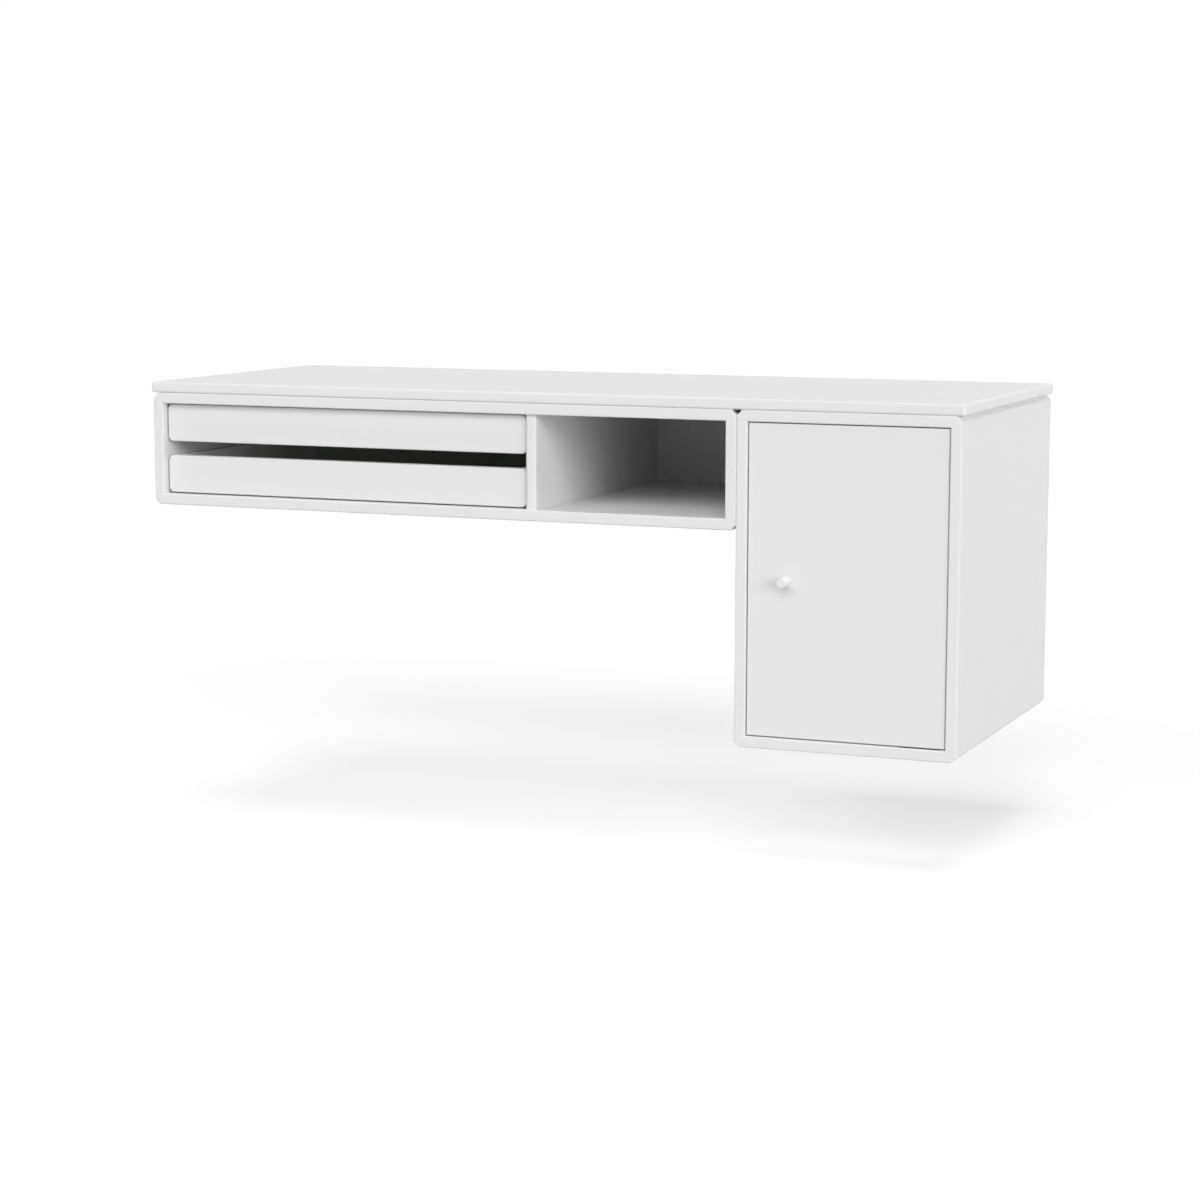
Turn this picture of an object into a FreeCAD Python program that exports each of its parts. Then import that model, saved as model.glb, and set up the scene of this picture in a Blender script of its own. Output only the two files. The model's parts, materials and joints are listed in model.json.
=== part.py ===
import FreeCAD, Part
import math
import os
import re

import Sketcher

# A floating wall desk: a low wall unit with two trays and an open bay, a cupboard with one inset door beside it,
# and one worktop over both. Millimetres. X runs to the right, Y towards the wall, Z up. The origin is the centre
# of the low unit's wall screws, on the wall. Every outline is written in formulas of the sheet's names.

SIZES = (
    # boards
    ("board", 12.0, "thickness of the carcass boards"),
    ("depth", 380.0, "front edges to wall"),
    ("low_width", 696.0, "low unit, outside"),
    ("low_height", 126.0, "low unit, outside"),
    ("cupboard_width", 240.0, "cupboard, outside"),
    ("cupboard_height", 354.0, "cupboard, outside"),
    ("arris_bevel", 5.8, "leg of the bevel on the long outer edges"),
    ("mitre_nick", 0.9, "leg of the small bevel along each mitre's outer edge"),
    ("front_ease", 1.6, "radius of the carcass front edges"),
    ("tongue_centre", 8.5, "mitre tongue's middle from both outer faces"),
    ("tongue_thickness", 3.0, "mitre tongue, along the mitre"),
    ("tongue_width", 8.0, "mitre tongue, across the mitre"),
    ("tongue_front", 20.0, "mitre tongue's end behind the front edges"),
    ("tongue_rear", 30.0, "mitre tongue's end before the wall"),
    # worktop
    ("worktop_thickness", 12.0, "worktop board"),
    ("worktop_overhang", 2.5, "worktop past the outer sides"),
    ("worktop_ease", 2.4, "radius of the worktop's arrises"),
    # backs
    ("back_thickness", 8.0, "back panels"),
    ("back_space", 6.0, "hanging space between back panels and wall"),
    ("back_tongue", 5.0, "back panel's entry into the boards"),
    # divider
    ("tray_bay_width", 444.0, "left side to divider, inside"),
    ("divider_thickness", 12.0, "divider board"),
    ("divider_setback", 4.0, "divider's edge behind the front edges"),
    ("divider_ease", 3.0, "radius of the divider's front arrises"),
    # dowels
    ("dowel_diameter", 6.0, "dowels"),
    ("dowel_length", 20.0, "dowels"),
    ("dowel_seat", 8.0, "dowel's entry into the face of a board"),
    ("dowel_chamfer", 0.8, "dowel ends"),
    ("divider_dowel_inset", 45.0, "outer divider dowels from the divider's ends"),
    # trays
    ("tray_gap", 1.3, "gap round the tray fronts"),
    ("tray_setback", 9.0, "tray fronts behind the front edges"),
    ("finger_gap", 16.0, "height between the tray fronts"),
    ("tray_front_thickness", 12.0, "tray front"),
    ("tray_front_corner", 6.0, "radius of the tray front's outline"),
    ("tray_front_ease", 1.5, "radius of the tray front's edges"),
    ("tray_rear_space", 12.0, "tray's back to the back panel"),
    ("tray_board", 12.0, "tray sides and back"),
    ("tray_top_ease", 1.5, "radius of the tray's upper edges"),
    ("tray_floor", 4.0, "tray bottom panel"),
    ("tray_floor_lift", 5.0, "tray bottom panel above the lower edges"),
    ("tray_floor_tongue", 5.0, "tray bottom panel's entry into the boards"),
    ("tray_dowel_low", 14.5, "lower front dowels above the lower edges"),
    ("tray_dowel_drop", 7.5, "upper dowels below the upper edges"),
    # runners
    ("runner_height", 9.4, "runner strip"),
    ("runner_slack", 0.3, "groove above and below the runner"),
    ("groove_depth", 6.0, "runner groove in a tray side"),
    ("groove_stop", 15.0, "solid wood ahead of the runner groove"),
    ("runner_side_slack", 0.5, "runner to the groove's floor"),
    ("runner_end_slack", 0.5, "runner to the groove's closed end"),
    ("runner_rear_space", 29.5, "runner's end to the back panel"),
    ("runner_nose", 2.5, "radius of the runner's front corners"),
    ("runner_screw_inset", 30.0, "outer runner screws from the runner's ends"),
    ("runner_screw_diameter", 3.0, "runner screw"),
    ("runner_screw_head", 6.0, "runner screw's head"),
    ("runner_screw_head_height", 1.5, "runner screw's head"),
    ("runner_screw_bite", 8.0, "runner screw's length in the board"),
    # worktop screws
    ("worktop_screw_diameter", 3.5, "worktop screw"),
    ("worktop_screw_head", 7.0, "worktop screw's head"),
    ("worktop_screw_head_height", 1.75, "worktop screw's head"),
    ("worktop_screw_bite", 8.0, "worktop screw's length in the worktop"),
    ("worktop_screw_inset", 60.0, "worktop screws from the boards' ends"),
    # connectors between the two units
    ("connector_diameter", 5.0, "connector sleeve"),
    ("connector_bolt", 3.0, "connector bolt"),
    ("connector_head", 13.0, "connector heads"),
    ("connector_head_height", 1.6, "connector heads"),
    ("connector_head_chamfer", 0.8, "connector heads"),
    ("connector_front", 50.0, "front connector behind the front edges"),
    ("connector_rear", 60.0, "rear connector before the wall"),
    ("sleeve_gap", 2.0, "connector sleeve's end to the cupboard side's inner face"),
    ("bolt_gap", 6.0, "connector bolt's end to the low unit side's inner face"),
    # cupboard shelf
    ("shelf_thickness", 12.0, "shelf board"),
    ("shelf_drop", 171.0, "shelf's top face below the cupboard's top"),
    ("shelf_setback", 24.0, "shelf behind the front edges"),
    ("shelf_slack", 0.5, "shelf to the sides and back"),
    ("shelf_pin_diameter", 5.0, "shelf pin"),
    ("shelf_pin_seat", 8.0, "shelf pin's entry into the side"),
    ("shelf_pin_reach", 8.0, "shelf pin under the shelf"),
    ("shelf_pin_inset", 40.0, "shelf pins from the shelf's front and the back panel"),
    # door
    ("door_gap", 1.1, "gap round the door"),
    ("door_thickness", 12.0, "door"),
    ("door_setback", 2.5, "door's face behind the front edges"),
    ("door_ease", 1.0, "radius of the door's edges"),
    ("knob_diameter", 11.0, "knob"),
    ("knob_length", 14.0, "knob"),
    ("knob_ease", 0.8, "radius of the knob's rim"),
    ("knob_inset", 41.0, "knob's middle from the door's left edge"),
    ("knob_hole", 3.0, "threaded hole in the knob"),
    ("knob_hole_depth", 9.0, "threaded hole in the knob"),
    ("knob_screw_gap", 1.0, "knob screw's end to the bottom of its hole"),
    ("knob_screw_head", 7.0, "knob screw's head"),
    ("knob_screw_head_height", 2.4, "knob screw's head"),
    # pivots
    ("pivot_inset", 9.0, "pivot's axis from the door's right edge"),
    ("pivot_back", 4.5, "pivot's axis behind the door's face"),
    ("pivot_diameter", 3.0, "pivot pin"),
    ("pivot_reach", 9.0, "pivot pin's length inside the door"),
    ("pivot_slack", 0.05, "pivot pin to bush, on the radius"),
    ("bush_diameter", 6.0, "pivot bush"),
    ("bush_length", 11.0, "pivot bush in the door"),
    ("bush_flange", 8.0, "pivot bush's flange"),
    ("bush_flange_slack", 0.2, "bush's flange to the pivot plate"),
    ("plate_length", 46.0, "pivot plate"),
    ("plate_width", 9.0, "pivot plate"),
    ("plate_thickness", 1.5, "pivot plate"),
    ("plate_end", 6.0, "pivot plate's right end from the pivot's axis"),
    ("plate_screw_diameter", 2.5, "pivot plate screw"),
    ("plate_screw_head", 4.5, "pivot plate screw's head"),
    ("plate_screw_head_height", 1.0, "pivot plate screw's head"),
    ("plate_screw_length", 9.0, "pivot plate screw"),
    ("plate_screw_pitch", 14.0, "pivot to the first plate screw, and on to the second"),
    # catch
    ("catch_height", 42.0, "catch body"),
    ("catch_width", 17.0, "catch body"),
    ("catch_length", 24.0, "catch body, front to back"),
    ("catch_drop", 90.0, "catch's top below the cupboard's top"),
    ("catch_slack", 0.4, "strike to the catch's face"),
    ("catch_lug", 3.0, "catch's screw lugs"),
    ("catch_lug_length", 9.0, "catch's screw lugs"),
    ("catch_screw_diameter", 2.5, "catch screw"),
    ("catch_screw_head", 5.0, "catch screw's head"),
    ("catch_screw_head_height", 1.8, "catch screw's head"),
    ("catch_screw_bite", 7.0, "catch screw's length in the side"),
    ("magnet_height", 16.0, "magnet with its pole plates"),
    ("magnet_width", 8.0, "magnet with its pole plates"),
    ("magnet_length", 14.0, "magnet with its pole plates"),
    ("magnet_proud", 0.2, "magnet ahead of the catch's face"),
    ("strike_thickness", 1.2, "strike plate"),
    ("strike_height", 30.0, "strike plate"),
    ("strike_width", 10.0, "strike plate"),
    ("strike_screw_inset", 4.0, "strike screws from the strike plate's ends"),
    ("strike_screw_length", 8.0, "strike screw"),
    # hanging
    ("rail_top_gap", 3.0, "hanging rails' upper edge to the board above"),
    ("rail_gauge", 1.5, "sheet of the hanging and wall rails"),
    ("rail_end_space", 20.0, "rails' ends to the sides"),
    ("rail_hook", 9.0, "height of both hooks"),
    ("rail_slack", 0.25, "between hooked faces"),
    ("rail_bend", 1.2, "outer radius of the rails' folds"),
    ("hanging_web", 24.0, "hanging rail's web"),
    ("wall_web", 24.0, "wall rail's web"),
    ("wall_screw_lift", 12.0, "wall screws above the wall rail's lower edge"),
    ("wall_hole", 5.5, "wall screw holes"),
    ("low_outer_pitch", 540.0, "low wall rail's outer holes, centre to centre"),
    ("low_inner_pitch", 180.0, "low wall rail's inner holes, centre to centre"),
    ("cupboard_pitch", 120.0, "cupboard wall rail's holes, centre to centre"),
    ("hanging_screw_diameter", 3.5, "hanging rail screw"),
    ("hanging_screw_head", 7.0, "hanging rail screw's head"),
    ("hanging_screw_head_height", 2.0, "hanging rail screw's head"),
    ("hanging_screw_bite", 6.5, "hanging rail screw's length in the back"),
    ("hanging_screw_inset", 24.0, "outer hanging rail screws from the rail's ends"),
)

doc = FreeCAD.newDocument("wall_desk")
sheet = doc.addObject("Spreadsheet::Sheet", "Sizes")
for row, (alias, value, note) in enumerate(SIZES, 1):
    sheet.set(f"A{row}", note)
    sheet.set(f"B{row}", str(value))
    sheet.setAlias(f"B{row}", alias)
doc.recompute()

NAMES = re.compile(r"\b(" + "|".join(alias for alias, _, _ in SIZES) + r")\b")
SIDE_TOLERANCE = 1e-5

# A plane's role, and the way its normal points along the axis that it lies across.
TOP = ("XY_Plane", 1)
FRONT = ("XZ_Plane", -1)
SIDE = ("YZ_Plane", 1)

# Formulas that several pieces share.
BACK_FACE = "(depth - back_space - back_thickness)"
INNER_HEIGHT = "(low_height - 2 * board)"
LOW_LEFT = "(-low_width / 2)"
CUPBOARD_LEFT = "(low_width / 2)"
TRAY_WIDTH = "(tray_bay_width - 2 * tray_gap)"
TRAY_HEIGHT = f"(({INNER_HEIGHT} - 2 * tray_gap - finger_gap) / 2)"
TRAY_LENGTH = f"({BACK_FACE} - tray_setback - tray_rear_space)"
GROOVE_LIFT = f"({TRAY_HEIGHT} / 2)"
DOOR_WIDTH = "(cupboard_width - 2 * board - 2 * door_gap)"
DOOR_HEIGHT = "(cupboard_height - 2 * board - 2 * door_gap)"
RUNNER_THICKNESS = "(tray_gap + groove_depth - runner_side_slack)"
RUNNER_START = "(tray_setback + tray_front_thickness + groove_stop + runner_end_slack)"
RUNNER_LENGTH = f"({BACK_FACE} - {RUNNER_START} - runner_rear_space)"
TONGUE_LENGTH = "(depth - tongue_front - tongue_rear)"
HOOK_LINE = "(-board - rail_top_gap - hanging_web - rail_hook)"
SCREW_LEVEL = f"({HOOK_LINE} - wall_web + wall_screw_lift)"
PIVOT_X = f"(board + door_gap + {DOOR_WIDTH} - pivot_inset)"
PIVOT_Y = "(door_setback + pivot_back)"
DOOR_BACK = "(door_setback + door_thickness)"
CATCH_FACE = f"({DOOR_BACK} + strike_thickness + catch_slack)"

LOW_ORIGIN = (LOW_LEFT, "-depth", f"-{SCREW_LEVEL}")
CUPBOARD_ORIGIN = (CUPBOARD_LEFT, "-depth", f"-{SCREW_LEVEL}")

parts = []


def bind(item, field, formula):
    """Tie one field of an item to a formula in the sheet's names."""
    item.setExpression(field, NAMES.sub(lambda found: "Sizes." + found.group(), formula))


def place(item, origin):
    """Tie an item's place to three formulas."""
    for axis, formula in zip("xyz", origin):
        bind(item, f"Placement.Base.{axis}", formula)


def new_body(label, origin):
    """A body that is written out under its label."""
    body = doc.addObject("PartDesign::Body", label)
    body.Label = label
    place(body, origin)
    parts.append(body)
    return body


def new_sketch(body, plane, offset):
    """An empty sketch on one of the body's planes, moved along that plane's axis to the offset."""
    role, sense = plane
    sketch = body.newObject("Sketcher::SketchObject", body.Name + "_sketch")
    base = next(item for item in body.Origin.OriginFeatures if item.Role == role)
    sketch.AttachmentSupport = [(base, "")]
    sketch.MapMode = "FlatFace"
    bind(sketch, "AttachmentOffset.Base.z", f"{sense} * ({offset})")
    return sketch


def tie_point(sketch, item, point, x, y):
    """Hold one point of a sketch at two formulas."""
    for kind, formula in (("DistanceX", x), ("DistanceY", y)):
        number = sketch.addConstraint(Sketcher.Constraint(kind, -1, 1, item, point, 1.0))
        bind(sketch, f"Constraints[{number}]", formula)


def outlines(body, plane, loops, offset="0"):
    """A sketch of closed outlines, each a list of corners in formulas."""
    sketch = new_sketch(body, plane, offset)
    for shift, corners in enumerate(loops):
        first = sketch.GeometryCount
        count = len(corners)
        ring = [
            FreeCAD.Vector(3 * shift + math.cos(2 * math.pi * i / count), math.sin(2 * math.pi * i / count), 0)
            for i in range(count)
        ]
        for i in range(count):
            sketch.addGeometry(Part.LineSegment(ring[i], ring[(i + 1) % count]), False)
        for i, (x, y) in enumerate(corners):
            following = first + (i + 1) % count
            sketch.addConstraint(Sketcher.Constraint("Coincident", first + i, 2, following, 1))
            tie_point(sketch, first + i, 1, x, y)
    return sketch


def rectangle(x0, y0, x1, y1):
    """The four corners between two opposite ones."""
    return [(x0, y0), (x1, y0), (x1, y1), (x0, y1)]


def circles(body, plane, centres, diameter, offset="0"):
    """A sketch of equal circles."""
    sketch = new_sketch(body, plane, offset)
    for shift, (x, y) in enumerate(centres):
        circle = Part.Circle(FreeCAD.Vector(3 * shift, 0, 0), FreeCAD.Vector(0, 0, 1), 1.0)
        item = sketch.addGeometry(circle, False)
        tie_point(sketch, item, 3, x, y)
        number = sketch.addConstraint(Sketcher.Constraint("Diameter", item, 2.0))
        bind(sketch, f"Constraints[{number}]", diameter)
    return sketch


def grow(body, plane, sketch, length, way, taper=0.0):
    """Pad a sketch by a length, way being +1 or -1 along the plane's axis."""
    pad = body.newObject("PartDesign::Pad", body.Name + "_pad")
    pad.Profile = sketch
    bind(pad, "Length", length)
    pad.Reversed = way * plane[1] < 0
    pad.TaperAngle = taper
    doc.recompute()
    return pad


def cut(body, plane, sketch, length, way, taper=0.0):
    """Pocket a sketch by a length, way being +1 or -1 along the plane's axis, and see that wood went."""
    before = body.Shape.Volume
    pocket = body.newObject("PartDesign::Pocket", body.Name + "_pocket")
    pocket.Profile = sketch
    bind(pocket, "Length", length)
    pocket.Reversed = way * plane[1] > 0
    pocket.TaperAngle = taper
    doc.recompute()
    if not body.Shape.Volume < before:
        raise RuntimeError(f"a cut in {body.Label} removes nothing")
    return pocket


def pegs(body, plane, centres, stages, start, way):
    """Round pegs in stages of diameter, length and taper, one after another along the plane's axis."""
    reach = start
    for diameter, length, taper in stages:
        grow(body, plane, circles(body, plane, centres, diameter, reach), length, way, taper)
        reach = f"{reach} + {way} * {length}"


def drill(body, plane, centres, stages, start, way):
    """Round holes in stages, as pegs has them."""
    reach = start
    for diameter, length, taper in stages:
        cut(body, plane, circles(body, plane, centres, diameter, reach), length, way, taper)
        reach = f"{reach} + {way} * {length}"


def edges_where(shape, wanted):
    """Names of the edges that wanted() accepts, given the edge and the sides of the shape's box it lies in."""
    box = shape.BoundBox
    names = []
    for number, edge in enumerate(shape.Edges, 1):
        span = edge.BoundBox
        sides = set()
        for axis in "XYZ":
            low, high = getattr(span, axis + "Min"), getattr(span, axis + "Max")
            if abs(high - getattr(box, axis + "Min")) < SIDE_TOLERANCE:
                sides.add(axis.lower() + "-")
            if abs(low - getattr(box, axis + "Max")) < SIDE_TOLERANCE:
                sides.add(axis.lower() + "+")
        if wanted(edge, sides):
            names.append(f"Edge{number}")
    return names


def ease(body, wanted, radius):
    """Round the edges that wanted() accepts."""
    base = body.Tip
    fillet = body.newObject("PartDesign::Fillet", body.Name + "_ease")
    fillet.Base = (base, edges_where(base.Shape, wanted))
    bind(fillet, "Radius", radius)
    doc.recompute()


def bevel(body, wanted, size):
    """Chamfer the edges that wanted() accepts."""
    base = body.Tip
    chamfer = body.newObject("PartDesign::Chamfer", body.Name + "_bevel")
    chamfer.Base = (base, edges_where(base.Shape, wanted))
    bind(chamfer, "Size", size)
    doc.recompute()


def all_edges(edge, sides):
    """A test for ease and bevel that takes every edge."""
    return True


def rims(edge, sides):
    """A test for ease and bevel that takes closed round edges."""
    return edge.isClosed()


# ---------------------------------------------------------------------------------------------------------------
# Carcasses: four mitred boards each, with the long outer edges bevelled across the joint


def side_map(width, height, name):
    """Turns a place along a board and a depth into it into the unit's X and Z."""
    maps = {
        "top": lambda along, deep: (along, f"-({deep})"),
        "bottom": lambda along, deep: (along, f"-{height} + {deep}"),
        "left_side": lambda along, deep: (deep, f"-({along})"),
        "right_side": lambda along, deep: (f"{width} - ({deep})", f"-({along})"),
    }
    return maps[name]


def mitred_board(unit, name, width, height, origin):
    """One carcass board with mitred ends, half bevels, eased front edges and grooves for tongues and back."""
    run = width if name in ("top", "bottom") else height
    spot = side_map(width, height, name)
    profile = [
        spot("arris_bevel / 2", "arris_bevel / 2"),
        spot("arris_bevel", "0"),
        spot(f"{run} - arris_bevel", "0"),
        spot(f"{run} - arris_bevel / 2", "arris_bevel / 2"),
        spot(f"{run} - board", "board"),
        spot("board", "board"),
    ]
    body = new_body(f"{unit}_{name}", origin)
    grow(body, FRONT, outlines(body, FRONT, [profile]), "depth", 1)
    inner = {"top": ("Z", "Min"), "bottom": ("Z", "Max"), "left_side": ("X", "Max"), "right_side": ("X", "Min")}
    axis, end = inner[name]
    level = getattr(body.Tip.Shape.BoundBox, axis + end)

    def front_arris(edge, sides):
        touching = sum(abs(getattr(vertex, axis) - level) < SIDE_TOLERANCE for vertex in edge.Vertexes)
        return "y-" in sides and touching != 1

    def mitre_arris(edge, sides):
        return bool(sides & {"X": {"z-", "z+"}, "Z": {"x-", "x+"}}[axis])

    bevel(body, mitre_arris, "mitre_nick")
    ease(body, front_arris, "front_ease")
    cut(body, FRONT, outlines(body, FRONT, tongue_loops(width, height), "tongue_front"), TONGUE_LENGTH, 1)
    cut(body, FRONT, outlines(body, FRONT, [back_loop(width, height)], BACK_FACE), "back_thickness", 1)
    return body


def tongue_loops(width, height):
    """The cross-sections of the four mitre tongues, set square across the mitres."""
    half_thickness = "tongue_thickness / 2 / sqrt(2)"
    half_width = "tongue_width / 2 / sqrt(2)"
    corner = [
        (f"tongue_centre {a} {half_thickness} {b} {half_width}", f"tongue_centre {a} {half_thickness} {c} {half_width}")
        for a, b, c in (("-", "+", "-"), ("+", "+", "-"), ("+", "-", "+"), ("-", "-", "+"))
    ]
    return [
        [(p, f"-({q})") for p, q in corner],
        [(f"{width} - ({p})", f"-({q})") for p, q in corner],
        [(p, f"-{height} + {q}") for p, q in corner],
        [(f"{width} - ({p})", f"-{height} + {q}") for p, q in corner],
    ]


def back_loop(width, height):
    """The back panel's outline, let into all four boards."""
    reach = "board - back_tongue"
    return rectangle(reach, f"-{height} + {reach}", f"{width} - ({reach})", f"-({reach})")


def carcass(unit, width, height, origin):
    """Four boards, the tongues in their mitres and the back panel."""
    boards = {
        name: mitred_board(unit, name, width, height, origin)
        for name in ("top", "bottom", "left_side", "right_side")
    }
    tongues = new_body(f"{unit}_corner_tongues", origin)
    sketch = outlines(tongues, FRONT, tongue_loops(width, height), "tongue_front")
    grow(tongues, FRONT, sketch, TONGUE_LENGTH, 1)
    back = new_body(f"{unit}_back", origin)
    grow(back, FRONT, outlines(back, FRONT, [back_loop(width, height)], BACK_FACE), "back_thickness", 1)
    boards["back"] = back
    return boards


low = carcass("low_unit", "low_width", "low_height", LOW_ORIGIN)
cupboard = carcass("cupboard", "cupboard_width", "cupboard_height", CUPBOARD_ORIGIN)

# ---------------------------------------------------------------------------------------------------------------
# Worktop: one board over both units, held by screws from below

worktop = new_body("worktop", (f"{LOW_LEFT} - worktop_overhang", "-depth", f"-{SCREW_LEVEL}"))
WORKTOP_LENGTH = "(low_width + cupboard_width + 2 * worktop_overhang)"
grow(worktop, TOP, outlines(worktop, TOP, [rectangle("0", "0", WORKTOP_LENGTH, "depth")]), "worktop_thickness", 1)
ease(worktop, all_edges, "worktop_ease")

WORKTOP_SCREW = (
    ("worktop_screw_diameter", "(board + worktop_screw_bite)", 0.0),
    ("worktop_screw_head", "worktop_screw_head_height", -45.0),
)


def screw_grid(width, middle):
    """Places of the worktop screws in one unit's top: its corners, and the middle of its length if asked."""
    columns = ["worktop_screw_inset", f"{width} - worktop_screw_inset"]
    if middle:
        columns.insert(1, middle)
    return [(x, y) for x in columns for y in ("worktop_screw_inset", "depth - worktop_screw_inset")]


LOW_SCREWS = screw_grid("low_width", "board + tray_bay_width - worktop_screw_inset")
CUPBOARD_SCREWS = screw_grid("cupboard_width", None)
worktop_screws = new_body("worktop_screws", LOW_ORIGIN)
ALL_SCREWS = LOW_SCREWS + [(f"low_width + {x}", y) for x, y in CUPBOARD_SCREWS]
shank, head = WORKTOP_SCREW
pegs(worktop_screws, TOP, ALL_SCREWS, [shank], "-board", 1)
pegs(worktop_screws, TOP, ALL_SCREWS, [head], "-board", 1)
for board_body, centres in ((low["top"], LOW_SCREWS), (cupboard["top"], CUPBOARD_SCREWS)):
    drill(board_body, TOP, centres, [("worktop_screw_diameter", "board", 0.0)], "-board", 1)
    drill(board_body, TOP, centres, [head], "-board", 1)
pilot_centres = [(f"{x} + worktop_overhang", y) for x, y in ALL_SCREWS]
drill(worktop, TOP, pilot_centres, [("worktop_screw_diameter", "worktop_screw_bite", 0.0)], "0", 1)

# ---------------------------------------------------------------------------------------------------------------
# Divider and its dowels

DIVIDER_LEFT = "(board + tray_bay_width)"
divider = new_body("low_unit_divider", LOW_ORIGIN)
divider_outline = rectangle(
    DIVIDER_LEFT, "-low_height + board", f"{DIVIDER_LEFT} + divider_thickness", "-board"
)
grow(
    divider,
    FRONT,
    outlines(divider, FRONT, [divider_outline], "divider_setback"),
    f"({BACK_FACE} - divider_setback)",
    1,
)
ease(divider, lambda edge, sides: {"y-"} <= sides and bool(sides & {"x-", "x+"}), "divider_ease")

DIVIDER_DOWELS = [
    (f"{DIVIDER_LEFT} + divider_thickness / 2", y)
    for y in (
        "divider_setback + divider_dowel_inset",
        f"(divider_setback + {BACK_FACE}) / 2",
        f"{BACK_FACE} - divider_dowel_inset",
    )
]
DOWEL = [("dowel_diameter", "dowel_length", 0.0)]
DOWEL_DEEP = "(dowel_length - dowel_seat)"
divider_dowels = new_body("divider_dowels", LOW_ORIGIN)
pegs(divider_dowels, TOP, DIVIDER_DOWELS, DOWEL, "-board + dowel_seat", -1)
pegs(divider_dowels, TOP, DIVIDER_DOWELS, DOWEL, "-low_height + board - dowel_seat", 1)
bevel(divider_dowels, rims, "dowel_chamfer")
drill(low["top"], TOP, DIVIDER_DOWELS, [("dowel_diameter", "dowel_seat", 0.0)], "-board", 1)
drill(low["bottom"], TOP, DIVIDER_DOWELS, [("dowel_diameter", "dowel_seat", 0.0)], "-low_height + board", -1)
drill(divider, TOP, DIVIDER_DOWELS, [("dowel_diameter", DOWEL_DEEP, 0.0)], "-board", -1)
drill(divider, TOP, DIVIDER_DOWELS, [("dowel_diameter", DOWEL_DEEP, 0.0)], "-low_height + board", 1)

# ---------------------------------------------------------------------------------------------------------------
# Trays: front, two grooved sides, back and bottom panel, dowelled together. Each tray's own frame starts at the
# lower left corner of its front's face.

TRAY_LIFTS = {
    "lower": "tray_gap",
    "upper": f"{INNER_HEIGHT} - tray_gap - {TRAY_HEIGHT}",
}
GROOVE_HEIGHT = "(runner_height + 2 * runner_slack)"
FRONT_DOWELS = [
    (x, z)
    for x in ("tray_board / 2", f"{TRAY_WIDTH} - tray_board / 2")
    for z in ("tray_dowel_low", f"{TRAY_HEIGHT} - tray_dowel_drop")
]
BACK_DOWEL = [(f"{TRAY_LENGTH} - tray_board / 2", f"{TRAY_HEIGHT} - tray_dowel_drop")]


def tray_origin(level):
    """The place of a tray's own frame."""
    return (
        f"{LOW_LEFT} + board + tray_gap",
        "-depth + tray_setback",
        f"-{SCREW_LEVEL} - low_height + board + {TRAY_LIFTS[level]}",
    )


def floor_slot(body, left, right):
    """The groove for the bottom panel, between two places along X."""
    loop = rectangle(left, "tray_floor_lift", right, "tray_floor_lift + tray_floor")
    start = "tray_front_thickness - tray_floor_tongue"
    length = f"({TRAY_LENGTH} - tray_front_thickness - tray_board + 2 * tray_floor_tongue)"
    cut(body, FRONT, outlines(body, FRONT, [loop], start), length, 1)


def tray_front(level, origin):
    body = new_body(f"{level}_tray_front", origin)
    loop = rectangle("0", "0", TRAY_WIDTH, TRAY_HEIGHT)
    grow(body, FRONT, outlines(body, FRONT, [loop]), "tray_front_thickness", 1)
    ease(body, lambda edge, sides: len(sides & {"x-", "x+", "z-", "z+"}) == 2, "tray_front_corner")
    ease(body, lambda edge, sides: "y-" in sides, "tray_front_ease")
    floor_slot(body, "tray_board - tray_floor_tongue", f"{TRAY_WIDTH} - tray_board + tray_floor_tongue")
    seat = [("dowel_diameter", "dowel_seat", 0.0)]
    drill(body, FRONT, FRONT_DOWELS, seat, "tray_front_thickness", -1)


def tray_side(level, name, origin):
    left = "0" if name == "left" else f"{TRAY_WIDTH} - tray_board"
    body = new_body(f"{level}_tray_{name}_side", origin)
    loop = rectangle("tray_front_thickness", "0", TRAY_LENGTH, TRAY_HEIGHT)
    grow(body, SIDE, outlines(body, SIDE, [loop], left), "tray_board", 1)
    ease(body, lambda edge, sides: "z+" in sides and bool(sides & {"x-", "x+"}), "tray_top_ease")
    groove = rectangle(
        "tray_front_thickness + groove_stop",
        f"{GROOVE_LIFT} - {GROOVE_HEIGHT} / 2",
        TRAY_LENGTH,
        f"{GROOVE_LIFT} + {GROOVE_HEIGHT} / 2",
    )
    outer, way = ("0", 1) if name == "left" else (TRAY_WIDTH, -1)
    cut(body, SIDE, outlines(body, SIDE, [groove], outer), "groove_depth", way)
    floor_slot(body, "tray_board - tray_floor_tongue", f"{TRAY_WIDTH} - tray_board + tray_floor_tongue")
    middle = "tray_board / 2" if name == "left" else f"{TRAY_WIDTH} - tray_board / 2"
    ends = [(middle, z) for x, z in FRONT_DOWELS[:2]]
    drill(body, FRONT, ends, [("dowel_diameter", DOWEL_DEEP, 0.0)], "tray_front_thickness", 1)
    inner, out = ("tray_board", -1) if name == "left" else (f"{TRAY_WIDTH} - tray_board", 1)
    drill(body, SIDE, BACK_DOWEL, [("dowel_diameter", "dowel_seat", 0.0)], inner, out)


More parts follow.
